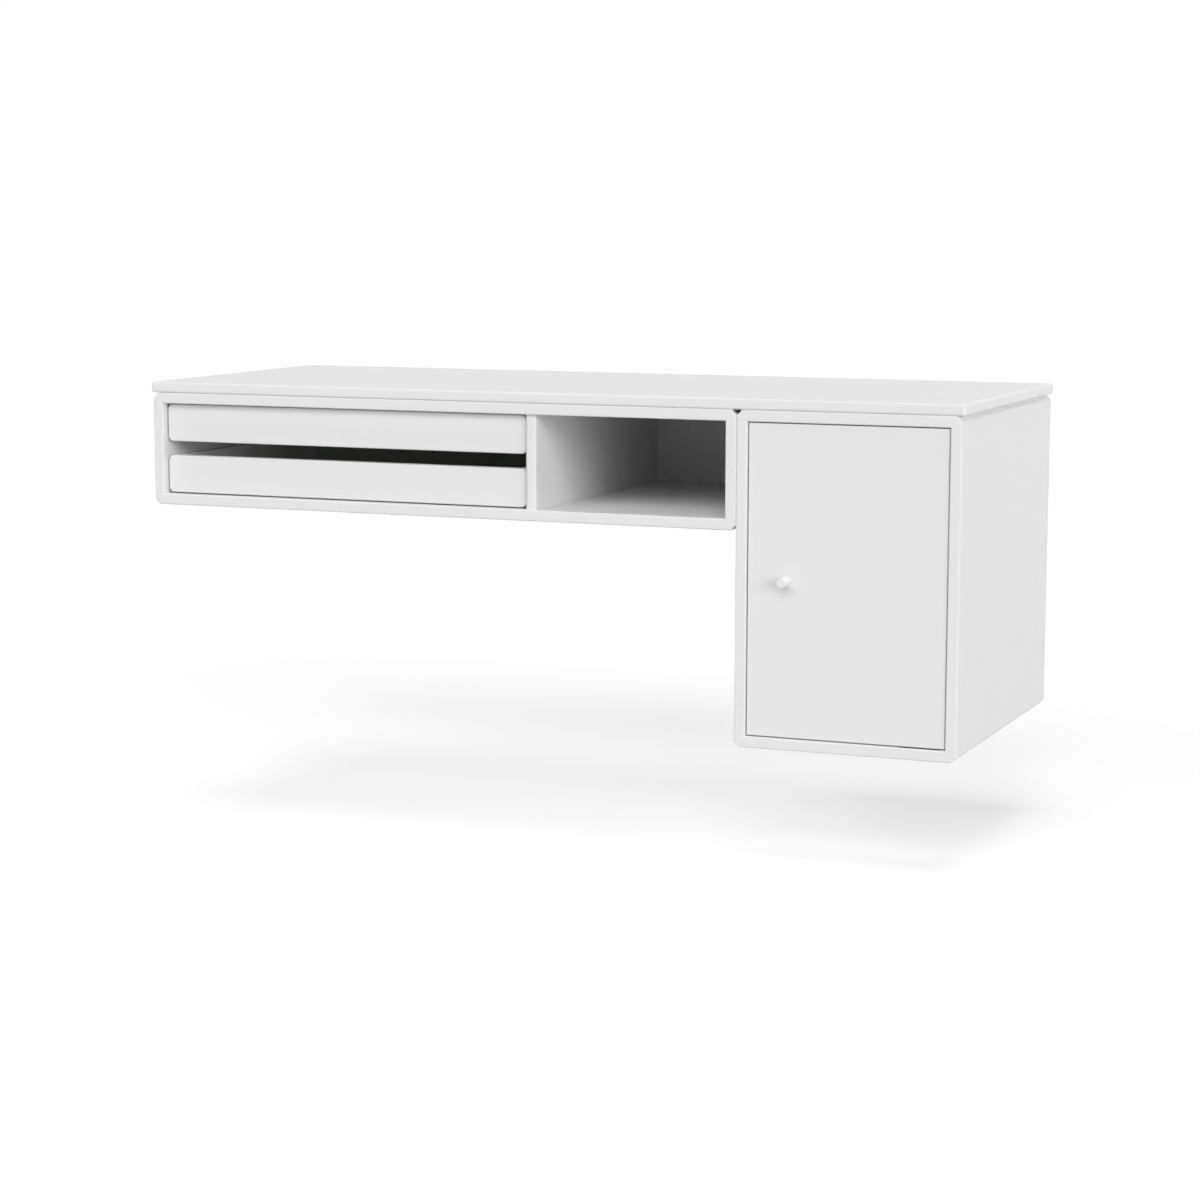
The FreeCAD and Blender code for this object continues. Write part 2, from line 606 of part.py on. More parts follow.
def tray_back(level, origin):
    body = new_body(f"{level}_tray_back", origin)
    loop = rectangle("tray_board", "0", f"{TRAY_WIDTH} - tray_board", TRAY_HEIGHT)
    grow(body, FRONT, outlines(body, FRONT, [loop], f"{TRAY_LENGTH} - tray_board"), "tray_board", 1)
    ease(body, lambda edge, sides: "z+" in sides and bool(sides & {"y-", "y+"}), "tray_top_ease")
    floor_slot(body, "tray_board", f"{TRAY_WIDTH} - tray_board")
    for inner, way in (("tray_board", 1), (f"{TRAY_WIDTH} - tray_board", -1)):
        drill(body, SIDE, BACK_DOWEL, [("dowel_diameter", DOWEL_DEEP, 0.0)], inner, way)


def tray_bottom(level, origin):
    body = new_body(f"{level}_tray_bottom", origin)
    reach = "tray_board - tray_floor_tongue"
    loop = rectangle(
        reach,
        "tray_front_thickness - tray_floor_tongue",
        f"{TRAY_WIDTH} - ({reach})",
        f"{TRAY_LENGTH} - tray_board + tray_floor_tongue",
    )
    grow(body, TOP, outlines(body, TOP, [loop], "tray_floor_lift"), "tray_floor", 1)


def tray_dowels(level, origin):
    body = new_body(f"{level}_tray_dowels", origin)
    pegs(body, FRONT, FRONT_DOWELS, DOWEL, "tray_front_thickness - dowel_seat", 1)
    pegs(body, SIDE, BACK_DOWEL, DOWEL, "tray_board - dowel_seat", 1)
    pegs(body, SIDE, BACK_DOWEL, DOWEL, f"{TRAY_WIDTH} - tray_board + dowel_seat", -1)
    bevel(body, rims, "dowel_chamfer")


RUNNER_SCREW_PLACES = [
    "runner_screw_inset",
    f"{RUNNER_LENGTH} / 2",
    f"{RUNNER_LENGTH} - runner_screw_inset",
]


def runner(level, name):
    """A strip on the unit's side or on the divider, countersunk for its screws."""
    wall = "board" if name == "left" else DIVIDER_LEFT
    way = 1 if name == "left" else -1
    lift = f"(-low_height + board + {TRAY_LIFTS[level]} + {GROOVE_LIFT})"
    body = new_body(f"{level}_{name}_runner", LOW_ORIGIN)
    loop = rectangle(
        RUNNER_START,
        f"{lift} - runner_height / 2",
        f"{RUNNER_START} + {RUNNER_LENGTH}",
        f"{lift} + runner_height / 2",
    )
    grow(body, SIDE, outlines(body, SIDE, [loop], wall), RUNNER_THICKNESS, way)
    free = "x+" if name == "left" else "x-"
    ease(body, lambda edge, sides: {free} < sides and bool(sides & {"y-"}), "runner_nose")
    places = [(f"{RUNNER_START} + {along}", lift) for along in RUNNER_SCREW_PLACES]
    face = f"({wall} + {way} * {RUNNER_THICKNESS})"
    drill(body, SIDE, places, [("runner_screw_diameter", RUNNER_THICKNESS, 0.0)], face, -way)
    drill(body, SIDE, places, [("runner_screw_head", "runner_screw_head_height", -45.0)], face, -way)
    board_body = low["left_side"] if name == "left" else divider
    drill(board_body, SIDE, places, [("runner_screw_diameter", "runner_screw_bite", 0.0)], wall, -way)
    length = f"({RUNNER_THICKNESS} + runner_screw_bite)"
    pegs(runner_screws, SIDE, places, [("runner_screw_diameter", length, 0.0)], face, -way)
    pegs(runner_screws, SIDE, places, [("runner_screw_head", "runner_screw_head_height", -45.0)], face, -way)


runner_screws = new_body("runner_screws", LOW_ORIGIN)
for level in ("upper", "lower"):
    origin = tray_origin(level)
    tray_front(level, origin)
    tray_side(level, "left", origin)
    tray_side(level, "right", origin)
    tray_back(level, origin)
    tray_bottom(level, origin)
    tray_dowels(level, origin)
    runner(level, "left")
    runner(level, "right")

# ---------------------------------------------------------------------------------------------------------------
# Connectors that clamp the cupboard to the low unit: a bolt from the cupboard into a sleeve from the low unit

CONNECTORS = [("connector_front", "-low_height / 2"), ("depth - connector_rear", "-low_height / 2")]
SLEEVE_LENGTH = "(2 * board - sleeve_gap)"
sleeves = new_body("connector_sleeves", LOW_ORIGIN)
sleeve_start = "low_width - board"
pegs(sleeves, SIDE, CONNECTORS, [("connector_head", "connector_head_height", 0.0)], sleeve_start, -1)
bevel(sleeves, lambda edge, sides: edge.isClosed() and "x-" in sides, "connector_head_chamfer")
pegs(sleeves, SIDE, CONNECTORS, [("connector_diameter", SLEEVE_LENGTH, 0.0)], sleeve_start, 1)
drill(sleeves, SIDE, CONNECTORS, [("connector_bolt", SLEEVE_LENGTH, 0.0)], f"{sleeve_start} + {SLEEVE_LENGTH}", -1)
bolts = new_body("connector_bolts", LOW_ORIGIN)
bolt_start = "low_width + board"
pegs(bolts, SIDE, CONNECTORS, [("connector_head", "connector_head_height", 0.0)], bolt_start, 1)
bevel(bolts, lambda edge, sides: edge.isClosed() and "x+" in sides, "connector_head_chamfer")
pegs(bolts, SIDE, CONNECTORS, [("connector_bolt", "(2 * board - bolt_gap)", 0.0)], bolt_start, -1)
drill(low["right_side"], SIDE, CONNECTORS, [("connector_diameter", "board", 0.0)], "low_width - board", 1)
drill(cupboard["left_side"], SIDE, CONNECTORS, [("connector_diameter", "board", 0.0)], "0", 1)

# ---------------------------------------------------------------------------------------------------------------
# Shelf on four pins

SHELF_LEFT = "board + shelf_slack"
shelf = new_body("cupboard_shelf", CUPBOARD_ORIGIN)
shelf_loop = rectangle(
    SHELF_LEFT, "shelf_setback", f"cupboard_width - ({SHELF_LEFT})", f"{BACK_FACE} - shelf_slack"
)
grow(shelf, TOP, outlines(shelf, TOP, [shelf_loop], "-shelf_drop"), "shelf_thickness", -1)
ease(shelf, lambda edge, sides: "y-" in sides and bool(sides & {"z-", "z+"}), "front_ease")
PIN_PLACES = [
    (y, "-shelf_drop - shelf_thickness - shelf_pin_diameter / 2")
    for y in ("shelf_setback + shelf_pin_inset", f"{BACK_FACE} - shelf_pin_inset")
]
shelf_pins = new_body("shelf_pins", CUPBOARD_ORIGIN)
PIN_LENGTH = "(shelf_pin_seat + shelf_pin_reach)"
for wall, way, side in (("board", 1, "left_side"), ("(cupboard_width - board)", -1, "right_side")):
    start = f"{wall} - {way} * shelf_pin_seat"
    pegs(shelf_pins, SIDE, PIN_PLACES, [("shelf_pin_diameter", PIN_LENGTH, 0.0)], start, way)
    drill(cupboard[side], SIDE, PIN_PLACES, [("shelf_pin_diameter", "shelf_pin_seat", 0.0)], wall, -way)

# ---------------------------------------------------------------------------------------------------------------
# Door, in its own frame: the upper left corner of its face

DOOR_ORIGIN = (
    f"{CUPBOARD_LEFT} + board + door_gap",
    "-depth + door_setback",
    f"-{SCREW_LEVEL} - board - door_gap",
)
door = new_body("door", DOOR_ORIGIN)
grow(
    door,
    FRONT,
    outlines(door, FRONT, [rectangle("0", f"-{DOOR_HEIGHT}", DOOR_WIDTH, "0")]),
    "door_thickness",
    1,
)
ease(door, all_edges, "door_ease")

# Pivots: a pin in a plate let into the cupboard's top and bottom, and a flanged bush in the door's edge
DOOR_PIVOT = [(f"{DOOR_WIDTH} - pivot_inset", "pivot_back")]
FLANGE_HEIGHT = "(door_gap - bush_flange_slack)"
BUSH_BORE = "(pivot_diameter + 2 * pivot_slack)"
PIVOT = [(PIVOT_X, PIVOT_Y)]
PIN_END = "(plate_thickness + door_gap + pivot_reach)"
PLATE_SCREWS = [(f"{PIVOT_X} - {count} * plate_screw_pitch", PIVOT_Y) for count in (1, 2)]
plate_screws = new_body("pivot_plate_screws", CUPBOARD_ORIGIN)
for name, edge, way, inner_face in (
    ("upper", "0", -1, "-board"),
    ("lower", f"-{DOOR_HEIGHT}", 1, "-cupboard_height + board"),
):
    bush = new_body(f"{name}_door_bush", DOOR_ORIGIN)
    pegs(bush, TOP, DOOR_PIVOT, [("bush_flange", FLANGE_HEIGHT, 0.0)], edge, -way)
    pegs(bush, TOP, DOOR_PIVOT, [("bush_diameter", "bush_length", 0.0)], edge, way)
    through = f"({FLANGE_HEIGHT} + bush_length)"
    drill(bush, TOP, DOOR_PIVOT, [(BUSH_BORE, through, 0.0)], f"{edge} - {way} * {FLANGE_HEIGHT}", way)
    drill(door, TOP, DOOR_PIVOT, [("bush_diameter", "bush_length", 0.0)], edge, way)

    plate_loop = rectangle(
        f"{PIVOT_X} + plate_end - plate_length",
        f"{PIVOT_Y} - plate_width / 2",
        f"{PIVOT_X} + plate_end",
        f"{PIVOT_Y} + plate_width / 2",
    )
    plate = new_body(f"{name}_pivot_plate", CUPBOARD_ORIGIN)
    grow(plate, TOP, outlines(plate, TOP, [plate_loop], inner_face), "plate_thickness", -way)
    drill(plate, TOP, PIVOT, [("pivot_diameter", "plate_thickness", 0.0)], inner_face, -way)
    drill(plate, TOP, PLATE_SCREWS, [("plate_screw_diameter", "plate_thickness", 0.0)], inner_face, -way)
    countersink = [("plate_screw_head", "plate_screw_head_height", -45.0)]
    drill(plate, TOP, PLATE_SCREWS, countersink, inner_face, -way)
    screw = [("plate_screw_diameter", "plate_screw_length", 0.0)]
    pegs(plate_screws, TOP, PLATE_SCREWS, screw, inner_face, -way)
    pegs(plate_screws, TOP, PLATE_SCREWS, countersink, inner_face, -way)

    board_body = cupboard["top"] if name == "upper" else cupboard["bottom"]
    cut(board_body, TOP, outlines(board_body, TOP, [plate_loop], inner_face), "plate_thickness", -way)
    drill(board_body, TOP, PLATE_SCREWS, screw, inner_face, -way)

    pin = new_body(f"{name}_pivot_pin", CUPBOARD_ORIGIN)
    root = f"{inner_face} - {way} * plate_thickness"
    pegs(pin, TOP, PIVOT, [("pivot_diameter", PIN_END, 0.0)], root, way)

# Knob, turned about its own axis, and the screw that holds it through the door
KNOB = [("knob_inset", f"-{DOOR_HEIGHT} / 2")]
knob = new_body("knob", DOOR_ORIGIN)
pegs(knob, FRONT, KNOB, [("knob_diameter", "knob_length", 0.0)], "0", -1)
ease(knob, lambda edge, sides: edge.isClosed() and "y-" in sides, "knob_ease")
drill(knob, FRONT, KNOB, [("knob_hole", "knob_hole_depth", 0.0)], "0", -1)
drill(door, FRONT, KNOB, [("knob_hole", "door_thickness", 0.0)], "0", 1)
knob_screw = new_body("knob_screw", DOOR_ORIGIN)
KNOB_SHANK = "(door_thickness + knob_hole_depth - knob_screw_gap)"
pegs(knob_screw, FRONT, KNOB, [("knob_screw_head", "knob_screw_head_height", 0.0)], "door_thickness", 1)
ease(knob_screw, lambda edge, sides: edge.isClosed() and "y+" in sides, "knob_ease")
pegs(knob_screw, FRONT, KNOB, [("knob_hole", KNOB_SHANK, 0.0)], "door_thickness", -1)

# ---------------------------------------------------------------------------------------------------------------
# Magnetic catch on the cupboard's left side, and the strike on the door

CATCH_MIDDLE = "(-catch_drop - catch_height / 2)"
catch = new_body("catch_body", CUPBOARD_ORIGIN)
LUG_TOP = "(catch_height / 2 + catch_lug_length)"
lugs = rectangle(CATCH_FACE, f"{CATCH_MIDDLE} - {LUG_TOP}", f"{CATCH_FACE} + catch_length", f"{CATCH_MIDDLE} + {LUG_TOP}")
grow(catch, SIDE, outlines(catch, SIDE, [lugs], "board"), "catch_lug", 1)
block = rectangle(
    CATCH_FACE,
    f"{CATCH_MIDDLE} - catch_height / 2",
    f"{CATCH_FACE} + catch_length",
    f"{CATCH_MIDDLE} + catch_height / 2",
)
grow(catch, SIDE, outlines(catch, SIDE, [block], "board"), "catch_width", 1)
ease(catch, lambda edge, sides: "x+" in sides, "front_ease")
MAGNET_X = "(board + catch_width / 2)"
magnet_loop = rectangle(
    f"{MAGNET_X} - magnet_width / 2",
    f"{CATCH_MIDDLE} - magnet_height / 2",
    f"{MAGNET_X} + magnet_width / 2",
    f"{CATCH_MIDDLE} + magnet_height / 2",
)
cut(catch, FRONT, outlines(catch, FRONT, [magnet_loop], CATCH_FACE), "magnet_length", 1)
magnet = new_body("catch_magnet", CUPBOARD_ORIGIN)
magnet_sketch = outlines(magnet, FRONT, [magnet_loop], f"{CATCH_FACE} - magnet_proud")
grow(magnet, FRONT, magnet_sketch, "(magnet_length + magnet_proud)", 1)
CATCH_SCREWS = [
    (f"{CATCH_FACE} + catch_length / 2", f"{CATCH_MIDDLE} {sign} (catch_height + catch_lug_length) / 2")
    for sign in "+-"
]
catch_screws = new_body("catch_screws", CUPBOARD_ORIGIN)
catch_screw_length = "(catch_lug + catch_screw_bite)"
pegs(catch_screws, SIDE, CATCH_SCREWS, [("catch_screw_diameter", catch_screw_length, 0.0)], "board + catch_lug", -1)
head = [("catch_screw_head", "catch_screw_head_height", 0.0)]
pegs(catch_screws, SIDE, CATCH_SCREWS, head, "board + catch_lug", 1)
drill(catch, SIDE, CATCH_SCREWS, [("catch_screw_diameter", "catch_lug", 0.0)], "board + catch_lug", -1)
drill(cupboard["left_side"], SIDE, CATCH_SCREWS, [("catch_screw_diameter", "catch_screw_bite", 0.0)], "board", -1)

strike = new_body("strike_plate", CUPBOARD_ORIGIN)
strike_loop = rectangle(
    f"{MAGNET_X} - strike_width / 2",
    f"{CATCH_MIDDLE} - strike_height / 2",
    f"{MAGNET_X} + strike_width / 2",
    f"{CATCH_MIDDLE} + strike_height / 2",
)
grow(strike, FRONT, outlines(strike, FRONT, [strike_loop], DOOR_BACK), "strike_thickness", 1)
STRIKE_SCREWS = [(MAGNET_X, f"{CATCH_MIDDLE} {sign} (strike_height / 2 - strike_screw_inset)") for sign in "+-"]
strike_screws = new_body("strike_screws", CUPBOARD_ORIGIN)
strike_face = f"{DOOR_BACK} + strike_thickness"
countersink = [("plate_screw_head", "plate_screw_head_height", -45.0)]
strike_shank = [("plate_screw_diameter", "strike_screw_length", 0.0)]
pegs(strike_screws, FRONT, STRIKE_SCREWS, strike_shank, strike_face, -1)
pegs(strike_screws, FRONT, STRIKE_SCREWS, countersink, strike_face, -1)
drill(strike, FRONT, STRIKE_SCREWS, [("plate_screw_diameter", "strike_thickness", 0.0)], strike_face, -1)
drill(strike, FRONT, STRIKE_SCREWS, countersink, strike_face, -1)
door_places = [(f"{x} - board - door_gap", f"{z} + board + door_gap") for x, z in STRIKE_SCREWS]
strike_pilot = [("plate_screw_diameter", "(strike_screw_length - strike_thickness)", 0.0)]
drill(door, FRONT, door_places, strike_pilot, "door_thickness", -1)

# ---------------------------------------------------------------------------------------------------------------
# Hanging rails on the backs, hooked over wall rails. Both are folded Z sections: a web, a shelf and a hook.

PANEL_REAR = "(depth - back_space)"


def fold(edge, sides):
    """A test for ease: the outer edge of a fold in a rail's section."""
    return bool(sides & {"y-", "y+"}) and not sides & {"x-", "x+", "z-", "z+"}


def wall_rail(unit, width, origin, pitches):
    """Web against the wall, hook standing up and away from the wall."""
    body = new_body(f"{unit}_wall_rail", origin)
    hook_rear = "depth - rail_gauge - 2 * rail_slack"
    hook_front = f"{hook_rear} - rail_gauge"
    section = [
        ("depth", f"{HOOK_LINE} - wall_web"),
        ("depth", HOOK_LINE),
        (hook_rear, HOOK_LINE),
        (hook_rear, f"{HOOK_LINE} + rail_hook"),
        (hook_front, f"{HOOK_LINE} + rail_hook"),
        (hook_front, f"{HOOK_LINE} - rail_gauge"),
        ("depth - rail_gauge", f"{HOOK_LINE} - rail_gauge"),
        ("depth - rail_gauge", f"{HOOK_LINE} - wall_web"),
    ]
    start = "board + rail_end_space"
    grow(body, SIDE, outlines(body, SIDE, [section], start), f"({width} - 2 * board - 2 * rail_end_space)", 1)
    ease(body, fold, "rail_bend")
    places = [(f"{width} / 2 {sign} {pitch} / 2", SCREW_LEVEL) for pitch in pitches for sign in "-+"]
    drill(body, FRONT, places, [("wall_hole", "rail_gauge", 0.0)], "depth", -1)


def hanging_rail(unit, width, origin, places):
    """Web screwed to the back panel, hook hanging down behind the wall rail's hook."""
    body = new_body(f"{unit}_hanging_rail", origin)
    hook_rear = "depth - rail_slack"
    hook_front = f"{hook_rear} - rail_gauge"
    shelf_level = f"{HOOK_LINE} + rail_hook"
    section = [
        (PANEL_REAR, shelf_level),
        (hook_front, shelf_level),
        (hook_front, f"{shelf_level} - rail_hook + rail_slack"),
        (hook_rear, f"{shelf_level} - rail_hook + rail_slack"),
        (hook_rear, f"{shelf_level} + rail_gauge"),
        (f"{PANEL_REAR} + rail_gauge", f"{shelf_level} + rail_gauge"),
        (f"{PANEL_REAR} + rail_gauge", f"{shelf_level} + hanging_web"),
        (PANEL_REAR, f"{shelf_level} + hanging_web"),
    ]
    start = "board + rail_end_space"
    grow(body, SIDE, outlines(body, SIDE, [section], start), f"({width} - 2 * board - 2 * rail_end_space)", 1)
    ease(body, fold, "rail_bend")
    web_rear = f"({PANEL_REAR} + rail_gauge)"
    level = f"{shelf_level} + (rail_gauge + hanging_web) / 2"
    centres = [(f"board + rail_end_space + {x}", level) for x in places]
    shank = "hanging_screw_diameter"
    drill(body, FRONT, centres, [(shank, "rail_gauge", 0.0)], web_rear, -1)
    back = low["back"] if unit == "low_unit" else cupboard["back"]
    drill(back, FRONT, centres, [(shank, "hanging_screw_bite", 0.0)], PANEL_REAR, -1)
    shift = "0" if unit == "low_unit" else "low_width"
    screws = [(f"{x} + {shift}", z) for x, z in centres]
    pegs(hanging_screws, FRONT, screws, [(shank, "(rail_gauge + hanging_screw_bite)", 0.0)], web_rear, -1)
    pegs(hanging_screws, FRONT, screws, [("hanging_screw_head", "hanging_screw_head_height", 0.0)], web_rear, 1)


hanging_screws = new_body("hanging_rail_screws", LOW_ORIGIN)
LOW_RAIL = "(low_width - 2 * board - 2 * rail_end_space)"
CUPBOARD_RAIL = "(cupboard_width - 2 * board - 2 * rail_end_space)"
low_places = ["hanging_screw_inset"]
low_places += [f"{LOW_RAIL} * {share} / 4" for share in (1, 2, 3)]
low_places += [f"{LOW_RAIL} - hanging_screw_inset"]
hanging_rail("low_unit", "low_width", LOW_ORIGIN, low_places)
hanging_rail(
    "cupboard", "cupboard_width", CUPBOARD_ORIGIN, ["hanging_screw_inset", f"{CUPBOARD_RAIL} - hanging_screw_inset"]
)
wall_rail("low_unit", "low_width", LOW_ORIGIN, ["low_outer_pitch", "low_inner_pitch"])
wall_rail("cupboard", "cupboard_width", CUPBOARD_ORIGIN, ["cupboard_pitch"])

# ---------------------------------------------------------------------------------------------------------------
# Look every object over, then write one file for each part

doc.recompute()
for item in doc.Objects:
    if {"Invalid", "Error"} & set(item.State):
        raise RuntimeError(f"{item.Label} failed: {item.State}")
for part in parts:
    if part.Shape.isNull() or not part.Shape.isValid() or not part.Shape.Solids:
        raise RuntimeError(f"{part.Label} has no valid solid")

os.makedirs("parts", exist_ok=True)
for part in parts:
    part.Shape.exportStep(f"parts/{part.Label}.step")
print(len(parts), "parts,", sum(len(part.Shape.Solids) for part in parts), "solids")
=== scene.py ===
import json
import math
from functools import cache

import bpy
import numpy as np
from bpy.props import FloatProperty, FloatVectorProperty, PointerProperty
from bpy.types import Operator, Panel, PropertyGroup
from mathutils import Euler, Matrix, Vector


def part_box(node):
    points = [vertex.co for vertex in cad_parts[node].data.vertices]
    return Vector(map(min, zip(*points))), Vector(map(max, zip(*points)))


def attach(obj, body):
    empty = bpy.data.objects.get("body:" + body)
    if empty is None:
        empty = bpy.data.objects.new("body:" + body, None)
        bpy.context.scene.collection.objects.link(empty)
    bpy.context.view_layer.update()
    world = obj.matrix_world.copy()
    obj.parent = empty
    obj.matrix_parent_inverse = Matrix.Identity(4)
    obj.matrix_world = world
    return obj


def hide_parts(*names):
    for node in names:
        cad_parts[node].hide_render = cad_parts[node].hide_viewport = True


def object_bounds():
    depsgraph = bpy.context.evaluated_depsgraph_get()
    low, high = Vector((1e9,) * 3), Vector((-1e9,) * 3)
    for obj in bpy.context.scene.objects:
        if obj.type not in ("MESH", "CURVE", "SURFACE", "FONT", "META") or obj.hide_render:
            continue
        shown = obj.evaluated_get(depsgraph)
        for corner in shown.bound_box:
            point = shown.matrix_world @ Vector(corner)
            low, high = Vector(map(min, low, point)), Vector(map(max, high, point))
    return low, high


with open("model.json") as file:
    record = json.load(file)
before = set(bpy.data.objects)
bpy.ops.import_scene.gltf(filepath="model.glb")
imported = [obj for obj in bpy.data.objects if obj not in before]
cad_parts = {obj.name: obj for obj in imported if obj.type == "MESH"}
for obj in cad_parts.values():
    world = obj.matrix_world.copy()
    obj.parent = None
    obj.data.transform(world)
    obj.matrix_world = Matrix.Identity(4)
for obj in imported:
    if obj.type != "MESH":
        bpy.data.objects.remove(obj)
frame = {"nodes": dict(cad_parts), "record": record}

bl_info = {
    "name": "Floating wall desk",
    "version": (1, 0, 0),
    "blender": (4, 5, 0),
    "location": "View3D > Sidebar > Wall desk",
    "description": "Dresses a wall-hung desk with trays, an open bay and a cupboard",
    "category": "Object",
}

CAD_BOUNDS = [list(corner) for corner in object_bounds()]
SLOTS = {part["node"]: part["material_slot"] for part in frame["record"]["subparts"]}

DESK = "desk"
DOOR = "swinging_door"
TRAYS = {"upper": "upper_tray", "lower": "lower_tray"}
TRAY_BOARDS = ("front", "left_side", "right_side", "back", "bottom")
UNITS = ("low_unit", "cupboard")
UNIT_BOARDS = ("top", "bottom", "left_side", "right_side", "back")


# --------------------------------------------------------------------------------------------------
# Sizes and colours that a user would change


class LacquerProperties(PropertyGroup):
    colour: FloatVectorProperty(
        name="Colour", description="Lacquer on the boards", subtype="COLOR", default=(0.775, 0.775, 0.775)
    )
    shift: FloatProperty(name="Shift", description="Change of lightness from place to place", default=0.006)
    roughness: FloatProperty(name="Roughness", description="Satin sheen of the lacquer", default=0.5)
    peel_size: FloatProperty(
        name="Peel size", description="Width of the sprayed film's dimples", unit="LENGTH", default=0.0012
    )
    peel_depth: FloatProperty(
        name="Peel depth", description="Depth of the sprayed film's dimples", unit="LENGTH", default=0.000012
    )


class HardwareProperties(PropertyGroup):
    drive_reach: FloatProperty(
        name="Drive reach",
        description="Arm of a cross recess, as a share of the head's radius",
        default=0.55,
    )
    drive_depth: FloatProperty(
        name="Drive depth",
        description="Depth of a cross recess, as a share of the head's radius",
        default=0.5,
    )
    wood_pitch: FloatProperty(
        name="Wood thread", description="Pitch as a share of the screw's diameter", default=0.42
    )
    metal_pitch: FloatProperty(
        name="Metal thread", description="Pitch as a share of the screw's diameter", default=0.2
    )
    core: FloatProperty(name="Core", description="Core as a share of the thread's radius", default=0.72)
    hexagon: FloatProperty(
        name="Hexagon", description="Socket of the connectors, across flats", unit="LENGTH", default=0.004
    )
    socket_depth: FloatProperty(
        name="Socket depth", description="Depth of the connectors' sockets", unit="LENGTH", default=0.0012
    )
    flute: FloatProperty(
        name="Flute", description="Depth of a dowel's flutes, as a share of its radius", default=0.07
    )
    rounding: FloatProperty(
        name="Rounding", description="Rounding of turned pieces' ends", unit="LENGTH", default=0.0004
    )


class StageProperties(PropertyGroup):
    floor_drop: FloatProperty(
        name="Floor drop", description="Floor below the cupboard", unit="LENGTH", default=0.118
    )
    floor_reach: FloatProperty(
        name="Floor reach", description="Half the floor's side", unit="LENGTH", default=14.0
    )
    floor_colour: FloatVectorProperty(
        name="Floor colour", description="Pale studio floor", subtype="COLOR", default=(0.6, 0.6, 0.6)
    )
    floor_glow: FloatProperty(
        name="Floor glow", description="White that the camera and reflections see", default=0.5
    )


class ViewProperties(PropertyGroup):
    place: FloatVectorProperty(
        name="Place",
        description="Where the camera stands",
        subtype="TRANSLATION",
        default=(1.32355, -3.13168, 0.2654),
    )
    turn: FloatProperty(name="Turn", description="Turn to the left", subtype="ANGLE", default=0.38887)
    dip: FloatProperty(name="Dip", description="Tilt downwards", subtype="ANGLE", default=0.1377)
    roll: FloatProperty(
        name="Roll", description="Turn about the line of sight", subtype="ANGLE", default=0.00152
    )
    lens: FloatProperty(name="Lens", description="Focal length in mm", default=84.699)


class WallDeskProperties(PropertyGroup):
    lacquer: PointerProperty(type=LacquerProperties)
    hardware: PointerProperty(type=HardwareProperties)
    stage: PointerProperty(type=StageProperties)
    view: PointerProperty(type=ViewProperties)


# --------------------------------------------------------------------------------------------------
# Shader maths


class Value:
    """A number socket of a finish. Python's operators on it add Math nodes."""

    def __init__(self, finish, socket):
        self.finish = finish
        self.socket = socket

    def __add__(self, other):
        return self.finish.maths("ADD", self, other)

    def __radd__(self, other):
        return self.finish.maths("ADD", other, self)

    def __sub__(self, other):
        return self.finish.maths("SUBTRACT", self, other)

    def __rsub__(self, other):
        return self.finish.maths("SUBTRACT", other, self)

    def __mul__(self, other):
        return self.finish.maths("MULTIPLY", self, other)

    def __rmul__(self, other):
        return self.finish.maths("MULTIPLY", other, self)

    def __abs__(self):
        return self.finish.maths("ABSOLUTE", self)

    def __gt__(self, other):
        return self.finish.maths("GREATER_THAN", self, other)


class Finish:
    """A material in the making."""

    def __init__(self, name):
        self.material = bpy.data.materials.new(name)
        self.material.use_nodes = True
        self.tree = self.material.node_tree
        self.tree.nodes.clear()
        self.place = self.node("ShaderNodeTexCoord").outputs["Object"]

    def node(self, kind, settings=None, **inputs):
        """A node of that type, with its settings made first and then its sockets' values or links."""
        made = self.tree.nodes.new(kind)
        for name, value in (settings or {}).items():
            setattr(made, name, value)
        for name, value in inputs.items():
            socket = made.inputs[int(name[1:])] if name[0] == "_" else made.inputs[name.replace("_", " ")]
            if isinstance(value, Value):
                value = value.socket
            if isinstance(value, bpy.types.NodeSocket):
                self.tree.links.new(value, socket)
            else:
                socket.default_value = value
        return made

    def maths(self, operation, *terms):
        sockets = {f"_{number}": term for number, term in enumerate(terms)}
        made = self.node("ShaderNodeMath", {"operation": operation}, **sockets)
        return Value(self, made.outputs[0])

    def drawn_out(self, axis, share):
        """The piece's own coordinates with one axis shrunk to a share, which draws features out along it."""
        scale = [share if name == axis else 1 for name in "xyz"]
        return self.node("ShaderNodeMapping", Vector=self.place, Scale=scale).outputs[0]

    def across(self):
        """The piece's own coordinate from left to right."""
        return Value(self, self.node("ShaderNodeSeparateXYZ", Vector=self.place).outputs[0])

    def noise(self, width, detail=2.0, place=None):
        """Soft noise from 0 to 1 whose features are about that wide."""
        place = place or self.place
        made = self.node("ShaderNodeTexNoise", Vector=place, Scale=1 / width, Detail=detail)
        return Value(self, made.outputs["Fac"])

    def mix(self, factor, first, second):
        """A colour between two."""
        made = self.node("ShaderNodeMix", {"data_type": "RGBA"}, _0=factor, _6=first, _7=second)
        return made.outputs[2]

    def bump(self, height, depth):
        """A normal from a height of 0 to 1 and a real depth."""
        return self.node("ShaderNodeBump", Height=height, Distance=depth).outputs[0]

    def close(self, **inputs):
        """Joins the shader to the output and gives the material."""
        shader = self.node("ShaderNodeBsdfPrincipled", **inputs)
        self.node("ShaderNodeOutputMaterial", Surface=shader.outputs[0])
        return self.material


# --------------------------------------------------------------------------------------------------
# Finishes, with widths and depths in metres

